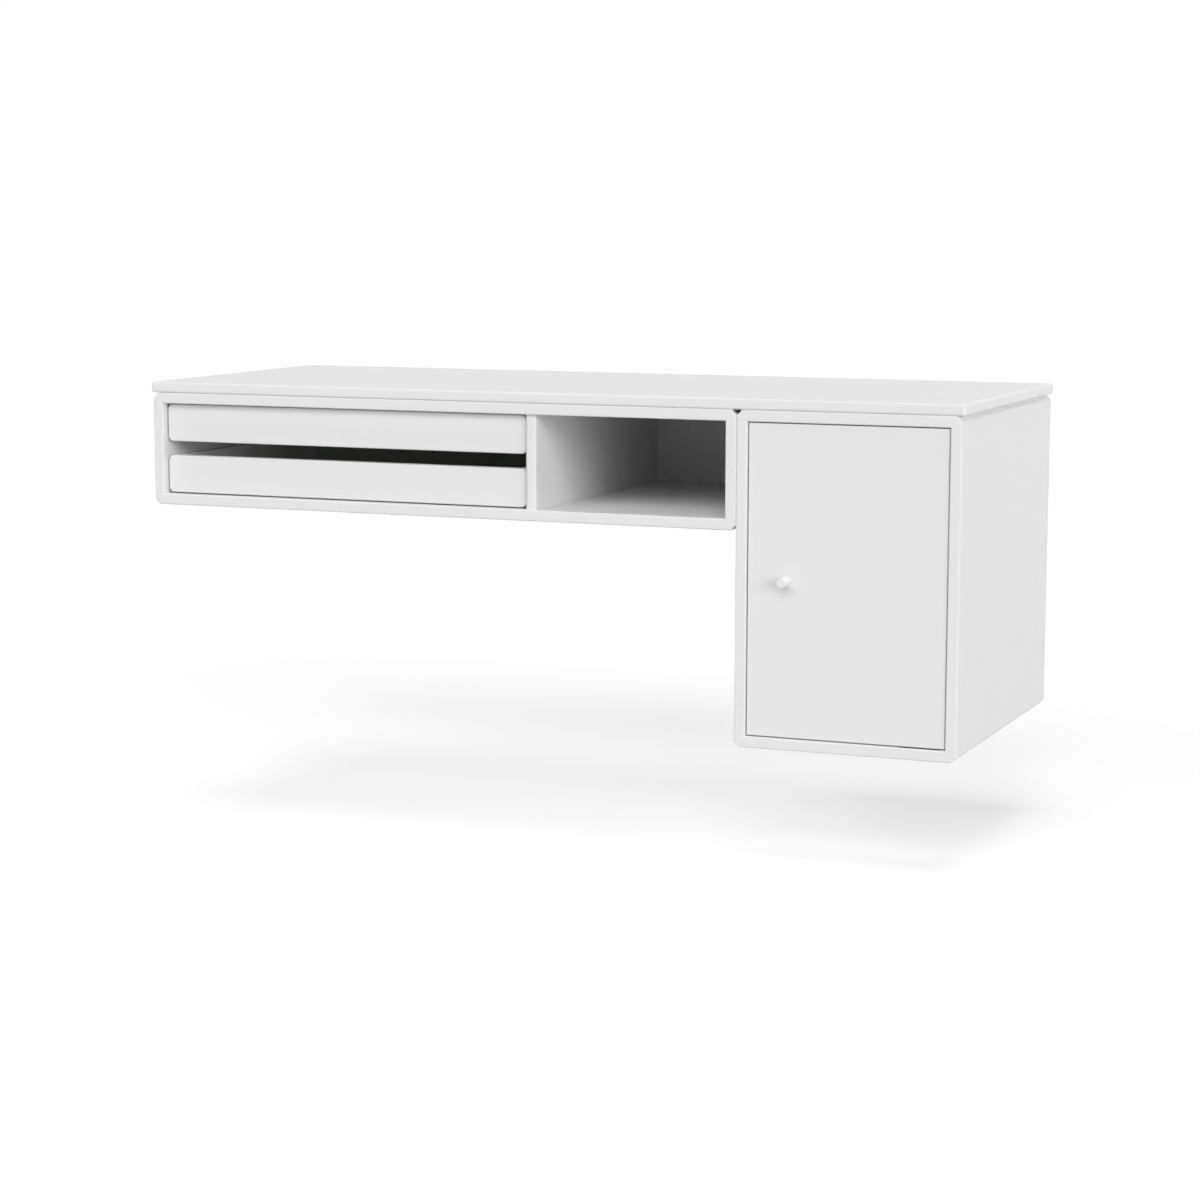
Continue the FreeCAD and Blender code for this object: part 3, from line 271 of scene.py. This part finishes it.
COATING_GLOSS = 0.3
BEECH_DARK, BEECH_LIGHT = (0.42, 0.25, 0.13, 1.0), (0.66, 0.45, 0.27, 1.0)
ZINC_DARK, ZINC_LIGHT = (0.50, 0.51, 0.50, 1.0), (0.68, 0.68, 0.64, 1.0)
SPANGLE_DARK, SPANGLE_LIGHT = (0.42, 0.43, 0.45, 1.0), (0.58, 0.59, 0.60, 1.0)
NYLON_DARK, NYLON_LIGHT = (0.66, 0.66, 0.64, 1.0), (0.72, 0.72, 0.70, 1.0)
FLECK_WEIGHT = 0.3  # of the flecks beside the bands in beech's colour
CRYSTALS_PER_METRE = 180.0
POLE_SHARE = 0.14  # of the catch magnet's width, for each of its two pole plates


def grey(level):
    return (level, level, level, 1.0)


def scaled(colour, factor):
    return (*(min(1.0, channel * factor) for channel in colour), 1.0)


def white_lacquer():
    """Sprayed satin lacquer: a faint drift of lightness and sheen, and the film's fine dimples."""
    lacquer = bpy.context.scene.wall_desk.lacquer
    dark, light = (scaled(lacquer.colour, 1 + sign * lacquer.shift) for sign in (-1, 1))
    sheen_range = 0.1
    finish = Finish("white_lacquer")
    sheen = sheen_range * finish.noise(width=0.03, detail=4)
    return finish.close(
        Base_Color=finish.mix(finish.noise(width=0.09, detail=3), dark, light),
        Roughness=lacquer.roughness - sheen_range / 2 + sheen,
        Specular_IOR_Level=COATING_GLOSS,
        Normal=finish.bump(finish.noise(lacquer.peel_size), lacquer.peel_depth),
    )


def beech(name, grain):
    """Bare beech: growth bands drawn out along the grain, with short flecks."""
    finish = Finish(name)
    bands = finish.noise(width=0.004, detail=3, place=finish.drawn_out(grain, share=0.06))
    flecks = finish.noise(width=0.0006, detail=1, place=finish.drawn_out(grain, share=0.1))
    pattern = bands * (1 - FLECK_WEIGHT) + flecks * FLECK_WEIGHT
    return finish.close(
        Base_Color=finish.mix(pattern, BEECH_DARK, BEECH_LIGHT),
        Roughness=0.55 + 0.15 * flecks,
        Normal=finish.bump(flecks, depth=0.00003),
    )


def zinc_plated_steel():
    """Bright zinc plating with a faint clouding."""
    finish = Finish("zinc_plated_steel")
    clouds = finish.noise(width=0.004, detail=4)
    return finish.close(
        Base_Color=finish.mix(clouds, ZINC_DARK, ZINC_LIGHT),
        Metallic=1.0,
        Roughness=0.28 + 0.2 * clouds,
        Normal=finish.bump(finish.noise(width=0.0004), depth=0.000004),
    )


def galvanised_sheet():
    """Galvanised sheet steel with its crystals of zinc."""
    finish = Finish("galvanised_sheet")
    crystals = finish.node("ShaderNodeTexVoronoi", Vector=finish.place, Scale=CRYSTALS_PER_METRE)
    shade = finish.node("ShaderNodeSeparateColor", Color=crystals.outputs["Color"])
    spangle = Value(finish, shade.outputs[0])
    return finish.close(
        Base_Color=finish.mix(spangle, SPANGLE_DARK, SPANGLE_LIGHT),
        Metallic=1.0,
        Roughness=0.38 + 0.2 * spangle,
        Normal=finish.bump(spangle, depth=0.000006),
    )


def moulded_nylon(name, dark, light):
    """Moulded nylon with a fine matt grain."""
    finish = Finish(name)
    return finish.close(
        Base_Color=finish.mix(finish.noise(width=0.003), dark, light),
        Roughness=0.5 + 0.1 * finish.noise(width=0.001),
        Normal=finish.bump(finish.noise(width=0.0003), depth=0.00001),
    )


def white_enamel():
    """Powder coat on the knob."""
    colour = bpy.context.scene.wall_desk.lacquer.colour
    shift = 0.005
    dark, light = (scaled(colour, 1 + sign * shift) for sign in (-1, 1))
    finish = Finish("white_enamel")
    return finish.close(
        Base_Color=finish.mix(finish.noise(width=0.006), dark, light),
        Roughness=0.45 + 0.1 * finish.noise(width=0.002),
        Specular_IOR_Level=COATING_GLOSS,
        Normal=finish.bump(finish.noise(width=0.0007), depth=0.000008),
    )


def magnet_and_poles():
    """A dull sintered magnet between two steel pole plates at the ends of its width."""
    finish = Finish("magnet")
    low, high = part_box("catch_magnet")
    middle, width = (low[0] + high[0]) / 2, high[0] - low[0]
    plates = abs(finish.across() - middle) > (0.5 - POLE_SHARE) * width
    grain = finish.noise(width=0.0005, detail=3)
    sintered, steel = finish.mix(grain, grey(0.035), grey(0.09)), grey(0.5)
    return finish.close(
        Base_Color=finish.mix(plates, sintered, steel),
        Metallic=plates,
        Roughness=0.35 + 0.2 * grain + 0.2 * (1 - plates),
        Normal=finish.bump(grain, depth=0.00001),
    )


FINISHES = {
    "white_lacquer": white_lacquer,
    "beech": lambda: beech("beech", "y"),
    "upright_beech": lambda: beech("upright_beech", "z"),
    "zinc_plated_steel": zinc_plated_steel,
    "galvanised_sheet": galvanised_sheet,
    "white_nylon": lambda: moulded_nylon("white_nylon", NYLON_DARK, NYLON_LIGHT),
    "black_nylon": lambda: moulded_nylon("black_nylon", dark=grey(0.025), light=grey(0.035)),
    "white_enamel": white_enamel,
    "magnet": magnet_and_poles,
}


@cache
def finish_for(name):
    """A finish, made when it is first asked for."""
    return FINISHES[name]()


def dress(*nodes):
    """Puts the finish of each node's slot on it."""
    for name in nodes:
        for slot in frame["nodes"][name].material_slots:
            slot.material = finish_for(SLOTS[name])


# --------------------------------------------------------------------------------------------------
# Turned pieces: rings round a centre line that is read from the node's solid

SEGMENTS = 24
ANGLES = np.arange(SEGMENTS) * 2 * np.pi / SEGMENTS
END_RINGS, DOME_RINGS, KNOB_RINGS = 4, 6, 7  # in the quarter rounds of ends, domed heads and the knob
SHARP_ANGLE = math.radians(35)
WELD_DECIMALS = 7  # of a metre, to which equal corners agree
TINY = 1e-6  # metres, or the least sine to divide by

HEAD_SHARE = 1.2  # of the shank's radius: what is wider is the head
RIM_SHARE = 0.03  # of a countersunk head's radius, for its thin rim
SCREW_LAND = 0.64  # flat middle of a domed screw's head, as a share of its radius
CONNECTOR_LAND = 0.72  # the same for the connectors
ARM_ANGLE = math.radians(15)  # between the middle of a cross recess's arm and its corner
RECESS_FLOOR = 0.55  # floor of a cross recess, as a share of its mouth
SOCKET_FLOOR = 0.98  # floor of a hexagon socket, as a share of its mouth

THREAD_ROWS = 8  # rings in one pitch
THREAD_SLOPE = 3.2  # fall of the ridge in a pitch, on each side of its crest
TIP_SHARE = 0.12  # end of a pointed shank, as a share of its radius
POINT_RADII = 3  # length of a wood screw's point, in radii of its shank

BUSH_EASE = 0.00015
KNOB_EASE = 0.0002
HOLE_SPARE = 0.001  # depth of the knob's hole past its screw


def solids(name):
    """The corners of each separate solid of a node. Equal corners count as one, and triangles pass the
    lowest number among their corners on until it stays."""
    mesh = frame["nodes"][name].data
    corners = np.empty(3 * len(mesh.vertices))
    mesh.vertices.foreach_get("co", corners)
    triangles = np.empty(len(mesh.loops), dtype=int)
    mesh.loops.foreach_get("vertex_index", triangles)
    corners = corners.reshape(-1, 3).round(WELD_DECIMALS)
    corners, index = np.unique(corners, axis=0, return_inverse=True)
    triangles = index.ravel()[triangles].reshape(-1, 3)
    label = np.arange(len(corners))
    while True:
        passed = label.copy()
        np.minimum.at(passed, triangles, label[triangles].min(axis=1)[:, None])
        if (passed == label).all():
            return [corners[label == mark] for mark in np.unique(label)]
        label = passed


class Spindle:
    """The line of a turned solid, from its head's outer end to its tip, and its lengths and radii."""

    def __init__(self, corners):
        low, high = corners.min(axis=0), corners.max(axis=0)
        axis = int(np.argmax(high - low))
        self.start = (low + high) / 2
        radii = np.hypot(*np.delete(corners - self.start, axis, axis=1).T)
        levels = corners[:, axis]
        at_low, at_high = (radii[abs(levels - end[axis]) < TINY].max() for end in (low, high))
        way = -1 if at_high > at_low else 1
        self.start[axis] = low[axis] if way == 1 else high[axis]
        self.along = np.zeros(3)
        self.along[axis] = way
        self.length = (high - low)[axis]
        self.radius = radii.max()
        self.shank = min(at_low, at_high)
        self.bore = radii.min()
        depths = way * (levels - self.start[axis])
        self.head = depths[radii > HEAD_SHARE * self.shank].max(initial=0.0)


def turned(spindle, rings, closed=False):
    """Points and faces of rings round a spindle, each a height from its start and a radius. A point at the
    angle a is start + height * along + radius * (cos a * side + sin a * up). The first and last ring shrink
    to poles, unless the rings close on themselves, as in a bored piece."""
    grids = [
        np.broadcast_arrays(np.reshape(height, (-1, 1)), radius, ANGLES)[:2] for height, radius in rings
    ]
    height, radius = (np.concatenate(part)[..., None] for part in zip(*grids))
    side = np.roll(abs(spindle.along), 1)
    up = np.cross(spindle.along, side)
    ray = np.cos(ANGLES)[:, None] * side + np.sin(ANGLES)[:, None] * up
    points = spindle.start + height * spindle.along + radius * ray
    if not closed:
        poles = points[[0, -1]].mean(axis=1)
        points = points[1:-1]
    here = np.arange(points.shape[0] * SEGMENTS).reshape(points.shape[:2])
    there = np.roll(here, -1, axis=1)
    corners = [here, there, np.roll(there, -1, axis=0), np.roll(here, -1, axis=0)]
    quads = np.stack(corners, axis=-1)[: None if closed else -1].reshape(-1, 4)
    points = points.reshape(-1, 3)
    if closed:
        return points, [quads]
    first, last = (np.full(SEGMENTS, len(points) + number) for number in (0, 1))
    caps = [np.stack((first, there[0], here[0]), axis=-1), np.stack((last, here[-1], there[-1]), axis=-1)]
    return np.concatenate((points, poles)), [quads, *caps]


def piece(name, shells, body, node, finish=None):
    """One object of several shells. It rides on a body in the place of a node and has its slot's finish."""
    starts = np.cumsum([0] + [len(points) for points, faces in shells])
    faces = [(face + start).tolist() for start, (points, groups) in zip(starts, shells) for face in groups]
    mesh = bpy.data.meshes.new(name)
    mesh.from_pydata(np.concatenate([points for points, groups in shells]).tolist(), [], sum(faces, []))
    mesh.shade_smooth()
    mesh.set_sharp_from_angle(angle=SHARP_ANGLE)
    mesh.materials.append(finish_for(finish or SLOTS[node]))
    made = bpy.data.objects.new(name, mesh)
    bpy.context.collection.objects.link(made)
    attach(made, body)
    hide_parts(node)


def quarter_turn(rings):
    """The angle of each of that many rings, from 0 to a right angle."""
    return np.linspace(0, np.pi / 2, rings)


def rounded(height, radius, way):
    """Rings of a quarter round at an end: from its face outwards to the side, or back if way is -1."""
    size = bpy.context.scene.wall_desk.hardware.rounding
    bend = quarter_turn(END_RINGS)[::way]
    return height + way * size * (1 - np.cos(bend)), (radius - size + size * np.sin(bend))[:, None]


def cross_recess(spindle):
    """A cross recess with flat arms: with p the angle from the nearest arm, the outline's radius is the
    lesser of arm / cos p and arm * tan ARM_ANGLE / sin p."""
    hardware = bpy.context.scene.wall_desk.hardware
    arm = hardware.drive_reach * spindle.radius
    off = abs((ANGLES + np.pi / 4) % (np.pi / 2) - np.pi / 4)
    flank = arm * math.tan(ARM_ANGLE) / np.maximum(np.sin(off), TINY)
    outline = np.minimum(arm / np.cos(off), flank)
    deep = hardware.drive_depth * spindle.radius
    return [(deep, 0), (deep, RECESS_FLOOR * outline), (0, outline)]


def hexagon_socket(spindle):
    """A hexagon socket: with p the angle from the middle of the nearest flat, the radius is half the width
    across flats / cos p."""
    hardware = bpy.context.scene.wall_desk.hardware
    deep = hardware.socket_depth
    outline = hardware.hexagon / 2 / np.cos(ANGLES % (np.pi / 3) - np.pi / 6)
    return [(deep, 0), (deep, SOCKET_FLOOR * outline), (0, outline)]


def head(spindle, land):
    """Rings of a head: a countersunk one is a thin rim and a straight cone, and a domed one falls from a
    flat land in a quarter of an ellipse."""
    if not spindle.head:
        rim = RIM_SHARE * spindle.radius
        edge = spindle.radius - rim
        return [(0, edge), (rim, edge), (spindle.radius - spindle.shank, spindle.shank)]
    bend = quarter_turn(DOME_RINGS)
    fall = spindle.head * (1 - np.cos(bend))
    spread = spindle.radius * (land + (1 - land) * np.sin(bend))
    return [(fall, spread[:, None]), (spindle.head, spindle.shank)]


def thread(spindle, pitch, point):
    """Rings of a threaded shank: the radius is core + (crest - core) * ridge, where ridge falls by
    THREAD_SLOPE in a pitch on both sides of a line that climbs one pitch a turn. The shank narrows in a
    straight cone along the point."""
    neck = (spindle.head or spindle.radius - spindle.shank) + pitch / 2
    height = np.arange(neck, spindle.length - pitch / 4, pitch / THREAD_ROWS)[:, None]
    climb = (height / pitch - ANGLES / (2 * np.pi)) % 1
    ridge = np.clip(1 - THREAD_SLOPE * abs(climb - 0.5), 0, 1)
    for run in (height - neck, spindle.length - height):
        ridge = ridge * np.clip(run / pitch, 0, 1)
    core = bpy.context.scene.wall_desk.hardware.core
    narrow = np.clip((spindle.length - height) / point, TIP_SHARE, 1) if point else 1
    return [
        (neck - pitch / 4, core * spindle.shank),
        (height, spindle.shank * narrow * (core + (1 - core) * ridge)),
        (spindle.length, (TIP_SHARE if point else core) * spindle.shank),
        (spindle.length, 0),
    ]


def wood_screw(spindle):
    """A pointed screw with a cross recess."""
    pitch = 2 * spindle.shank * bpy.context.scene.wall_desk.hardware.wood_pitch
    shank = thread(spindle, pitch, POINT_RADII * spindle.shank)
    return turned(spindle, [*cross_recess(spindle), *head(spindle, SCREW_LAND), *shank])


def machine_screw(spindle):
    """A blunt screw with a cross recess and a fine thread."""
    pitch = 2 * spindle.shank * bpy.context.scene.wall_desk.hardware.metal_pitch
    shank = thread(spindle, pitch, 0)
    return turned(spindle, [*cross_recess(spindle), *head(spindle, SCREW_LAND), *shank])


def connector_bolt(spindle):
    """A bolt with a hexagon socket and a fine thread."""
    pitch = 2 * spindle.shank * bpy.context.scene.wall_desk.hardware.metal_pitch
    shank = thread(spindle, pitch, 0)
    return turned(spindle, [*hexagon_socket(spindle), *head(spindle, CONNECTOR_LAND), *shank])


def connector_sleeve(spindle):
    """The connector's other half: the same head on a plain sleeve, bored from its tip to the head."""
    sleeve = [
        rounded(spindle.length, spindle.shank, -1),
        (spindle.length, spindle.bore),
        (spindle.head, spindle.bore),
        (spindle.head, 0),
    ]
    return turned(spindle, [*hexagon_socket(spindle), *head(spindle, CONNECTOR_LAND), *sleeve])


def dowel(spindle):
    """A fluted dowel: every second line along it lies a flute's depth lower, and both ends are bevelled."""
    depth = bpy.context.scene.wall_desk.hardware.flute
    flutes = spindle.radius * (1 - depth * (np.arange(SEGMENTS) % 2))
    bevel = spindle.radius - spindle.shank
    ends = [(0, 0), (0, spindle.shank), (bevel, flutes)]
    return turned(spindle, [*ends, *((spindle.length - height, radius) for height, radius in reversed(ends))])


def pin(spindle):
    """A plain pin with rounded ends."""
    ends = [rounded(0, spindle.radius, 1), rounded(spindle.length, spindle.radius, -1)]
    return turned(spindle, [(0, 0), *ends, (spindle.length, 0)])


def bush(spindle):
    """A flanged bush, bored through, with its rims eased."""
    wide, narrow, bore, end = spindle.radius, spindle.shank, spindle.bore, spindle.length
    flange = [(0, wide - BUSH_EASE), (BUSH_EASE, wide), (spindle.head, wide), (spindle.head, narrow)]
    tip = [(end - BUSH_EASE, narrow), (end, narrow - BUSH_EASE), (end, bore + BUSH_EASE)]
    inside = [(end - BUSH_EASE, bore), (BUSH_EASE, bore), (0, bore + BUSH_EASE)]
    return turned(spindle, [*flange, *tip, *inside], closed=True)


def knob(spindle):
    """A round knob, from the bottom of its threaded hole to its rim: the rim is a quarter round."""
    rim = spindle.radius - spindle.shank
    screw_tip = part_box("knob_screw")[0][1]
    hole = spindle.start[1] - screw_tip + HOLE_SPARE
    foot = [(0, spindle.radius - KNOB_EASE), (KNOB_EASE, spindle.radius)]
    bend = quarter_turn(KNOB_RINGS)
    face = (spindle.length - rim * (1 - np.sin(bend)), (spindle.shank + rim * np.cos(bend))[:, None])
    inside = [(hole, 0), (hole, spindle.bore), (0, spindle.bore)]
    return turned(spindle, [*inside, *foot, face, (spindle.length, 0)])


def make(name, shape, body, node, finish=None):
    """A piece of one turned shape for every solid of a node."""
    piece(name, [shape(Spindle(corners)) for corners in solids(node)], body, node, finish)


# --------------------------------------------------------------------------------------------------
# Operators

SENSOR_WIDTH = 36.0


class WALLDESK_OT_camera(Operator):
    """Place the camera"""

    bl_idname = "wall_desk.camera"
    bl_label = "Camera"

    def execute(self, context):
        view = context.scene.wall_desk.view
        camera = bpy.data.cameras.new("studio_camera")
        camera.lens = view.lens
        camera.sensor_width = SENSOR_WIDTH
        camera.clip_end = 50.0
        camera.dof.use_dof = False
        holder = bpy.data.objects.new("studio_camera", camera)
        holder.location = view.place
        aim = Euler((math.pi / 2 - view.dip, 0.0, view.turn)).to_matrix()
        holder.rotation_euler = (aim @ Matrix.Rotation(view.roll, 3, "Z")).to_euler()
        bpy.context.collection.objects.link(holder)
        context.scene.camera = holder
        context.scene.view_settings.view_transform = "Standard"
        return {"FINISHED"}


class WALLDESK_OT_worktop(Operator):
    """Dress the worktop and turn its screws"""

    bl_idname = "wall_desk.worktop"
    bl_label = "Worktop"

    def execute(self, context):
        dress("worktop")
        make("threaded_worktop_screws", wood_screw, DESK, "worktop_screws")
        return {"FINISHED"}


class WALLDESK_OT_carcasses(Operator):
    """Dress the boards of the low unit and of the cupboard"""

    bl_idname = "wall_desk.carcasses"
    bl_label = "Carcasses"

    def execute(self, context):
        for unit in UNITS:
            dress(*(f"{unit}_{board}" for board in UNIT_BOARDS))
        dress("low_unit_divider")
        return {"FINISHED"}


class WALLDESK_OT_joinery(Operator):
    """Dress the tongues and make the dowels and the connectors between the units"""

    bl_idname = "wall_desk.joinery"
    bl_label = "Joinery"

    def execute(self, context):
        dress("low_unit_corner_tongues", "cupboard_corner_tongues")
        make("fluted_divider_dowels", dowel, DESK, "divider_dowels", "upright_beech")
        make("socketed_connector_bolts", connector_bolt, DESK, "connector_bolts")
        make("socketed_connector_sleeves", connector_sleeve, DESK, "connector_sleeves")
        return {"FINISHED"}


class WALLDESK_OT_trays(Operator):
    """Dress the trays' boards and make their dowels"""

    bl_idname = "wall_desk.trays"
    bl_label = "Trays"

    def execute(self, context):
        for level, body in TRAYS.items():
            dress(*(f"{level}_tray_{board}" for board in TRAY_BOARDS))
            make(f"fluted_{level}_tray_dowels", dowel, body, f"{level}_tray_dowels")
        return {"FINISHED"}


class WALLDESK_OT_runners(Operator):
    """Dress the trays' runners and turn their screws"""

    bl_idname = "wall_desk.runners"
    bl_label = "Runners"

    def execute(self, context):
        dress(*(f"{level}_{side}_runner" for level in TRAYS for side in ("left", "right")))
        make("threaded_runner_screws", wood_screw, DESK, "runner_screws")
        return {"FINISHED"}


class WALLDESK_OT_shelf(Operator):
    """Dress the shelf and turn its pins"""

    bl_idname = "wall_desk.shelf"
    bl_label = "Shelf"

    def execute(self, context):
        dress("cupboard_shelf")
        make("turned_shelf_pins", pin, DESK, "shelf_pins")
        return {"FINISHED"}


class WALLDESK_OT_door(Operator):
    """Dress the door and turn its knob and the knob's screw"""

    bl_idname = "wall_desk.door"
    bl_label = "Door"

    def execute(self, context):
        dress("door")
        make("turned_knob", knob, DOOR, "knob")
        make("threaded_knob_screw", machine_screw, DOOR, "knob_screw")
        return {"FINISHED"}


class WALLDESK_OT_pivots(Operator):
    """Dress the pivot plates and turn the pins, bushes and screws"""

    bl_idname = "wall_desk.pivots"
    bl_label = "Pivots"

    def execute(self, context):
        for level in ("upper", "lower"):
            dress(f"{level}_pivot_plate")
            make(f"turned_{level}_pivot_pin", pin, DESK, f"{level}_pivot_pin")
            make(f"turned_{level}_door_bush", bush, DOOR, f"{level}_door_bush")
        make("threaded_pivot_plate_screws", wood_screw, DESK, "pivot_plate_screws")
        return {"FINISHED"}


class WALLDESK_OT_catch(Operator):
    """Dress the magnetic catch and its strike and turn their screws"""

    bl_idname = "wall_desk.catch"
    bl_label = "Catch"

    def execute(self, context):
        dress("catch_body", "catch_magnet", "strike_plate")
        make("threaded_catch_screws", wood_screw, DESK, "catch_screws")
        make("threaded_strike_screws", wood_screw, DOOR, "strike_screws")
        return {"FINISHED"}


class WALLDESK_OT_rails(Operator):
    """Dress the hanging rails and wall rails and turn the screws"""

    bl_idname = "wall_desk.rails"
    bl_label = "Rails"

    def execute(self, context):
        dress(*(f"{unit}_{kind}_rail" for unit in UNITS for kind in ("hanging", "wall")))
        make("threaded_hanging_rail_screws", wood_screw, DESK, "hanging_rail_screws")
        return {"FINISHED"}


# Each lamp: name, where it shines from as azimuth and elevation in degrees (0 is straight in front, 90 the
# right), its width in the sky in degrees, and the level that it gives a white face turned towards it.
LAMPS = (
    ("left_front_lamp", -26.0, 32.0, 34.0, 0.27),
    ("front_lamp", 15.0, 38.0, 34.0, 0.275),
    ("right_front_lamp", 40.0, 22.0, 34.0, 0.18),
    ("low_right_lamp", 60.0, 6.0, 34.0, 0.44),
    ("right_lamp", 100.0, 6.0, 34.0, 0.25),
    ("rear_lamp", 180.0, 6.0, 34.0, 0.4),
    ("left_lamp", -110.0, 4.0, 34.0, 0.4),
    ("overhead_lamp", 0.0, 88.0, 34.0, 0.335),
)


class WALLDESK_OT_stage(Operator):
    """Make the floor, the white surroundings and the lamps"""

    bl_idname = "wall_desk.stage"
    bl_label = "Stage"

    def execute(self, context):
        self.floor(context.scene.wall_desk.stage)
        self.surroundings(context.scene)
        for lamp in LAMPS:
            self.lamp(*lamp)
        return {"FINISHED"}

    def seen(self, nodes, links):
        """1 for rays from the camera, a gloss or through glass, and 0 for all others."""
        path = nodes.new("ShaderNodeLightPath")
        seen = path.outputs["Is Camera Ray"]
        for name in ("Is Glossy Ray", "Is Transmission Ray"):
            most = nodes.new("ShaderNodeMath")
            most.operation = "MAXIMUM"
            links.new(seen, most.inputs[0])
            links.new(path.outputs[name], most.inputs[1])
            seen = most.outputs[0]
        return seen

    def floor(self, stage):
        level = CAD_BOUNDS[0][2] - stage.floor_drop
        reach = stage.floor_reach
        mesh = bpy.data.meshes.new("studio_floor")
        corners = [(x * reach, y * reach, level) for x, y in ((-1, -1), (1, -1), (1, 1), (-1, 1))]
        mesh.from_pydata(corners, [], [(0, 1, 2, 3)])
        floor = bpy.data.objects.new("studio_floor", mesh)
        bpy.context.collection.objects.link(floor)
        finish = Finish("studio_floor")
        seen = self.seen(finish.tree.nodes, finish.tree.links)
        mesh.materials.append(
            finish.close(
                Base_Color=(*stage.floor_colour, 1.0),
                Roughness=1.0,
                Specular_IOR_Level=0.0,
                Emission_Color=finish.mix(seen, grey(0.0), grey(stage.floor_glow)),
                Emission_Strength=1.0,
            )
        )

    def surroundings(self, scene):
        world = bpy.data.worlds.new("white_surroundings")
        world.use_nodes = True
        scene.world = world
        tree = world.node_tree
        background = next(node for node in tree.nodes if node.type == "BACKGROUND")
        background.inputs["Color"].default_value = (1.0, 1.0, 1.0, 1.0)
        tree.links.new(self.seen(tree.nodes, tree.links), background.inputs["Strength"])

    def lamp(self, name, azimuth, elevation, width, share):
        light = bpy.data.lights.new(name, "SUN")
        light.energy = math.pi * share
        light.angle = math.radians(width)
        lamp = bpy.data.objects.new(name, light)
        lamp.visible_glossy = False
        turn, lift = math.radians(azimuth), math.radians(elevation)
        towards = Vector((math.sin(turn) * math.cos(lift), -math.cos(turn) * math.cos(lift), math.sin(lift)))
        lamp.rotation_euler = towards.to_track_quat("Z", "Y").to_euler()
        bpy.context.collection.objects.link(lamp)


STEPS = (
    WALLDESK_OT_camera,
    WALLDESK_OT_worktop,
    WALLDESK_OT_carcasses,
    WALLDESK_OT_joinery,
    WALLDESK_OT_trays,
    WALLDESK_OT_runners,
    WALLDESK_OT_shelf,
    WALLDESK_OT_door,
    WALLDESK_OT_pivots,
    WALLDESK_OT_catch,
    WALLDESK_OT_rails,
    WALLDESK_OT_stage,
)


class WALLDESK_PT_panel(Panel):
    """Buttons for each group of pieces"""

    bl_idname = "WALLDESK_PT_panel"
    bl_label = "Wall desk"
    bl_space_type = "VIEW_3D"
    bl_region_type = "UI"
    bl_category = "Wall desk"

    def draw(self, context):
        for step in STEPS:
            self.layout.operator(step.bl_idname)


GROUPS = (LacquerProperties, HardwareProperties, StageProperties, ViewProperties, WallDeskProperties)
CLASSES = (*GROUPS, *STEPS, WALLDESK_PT_panel)


def register():
    for made in CLASSES:
        bpy.utils.register_class(made)
    bpy.types.Scene.wall_desk = PointerProperty(type=WallDeskProperties)


def unregister():
    del bpy.types.Scene.wall_desk
    for made in reversed(CLASSES):
        bpy.utils.unregister_class(made)


def main():
    register()
    for step in STEPS:
        space, name = step.bl_idname.split(".")
        getattr(getattr(bpy.ops, space), name)()


if __name__ == "__main__":
    main()
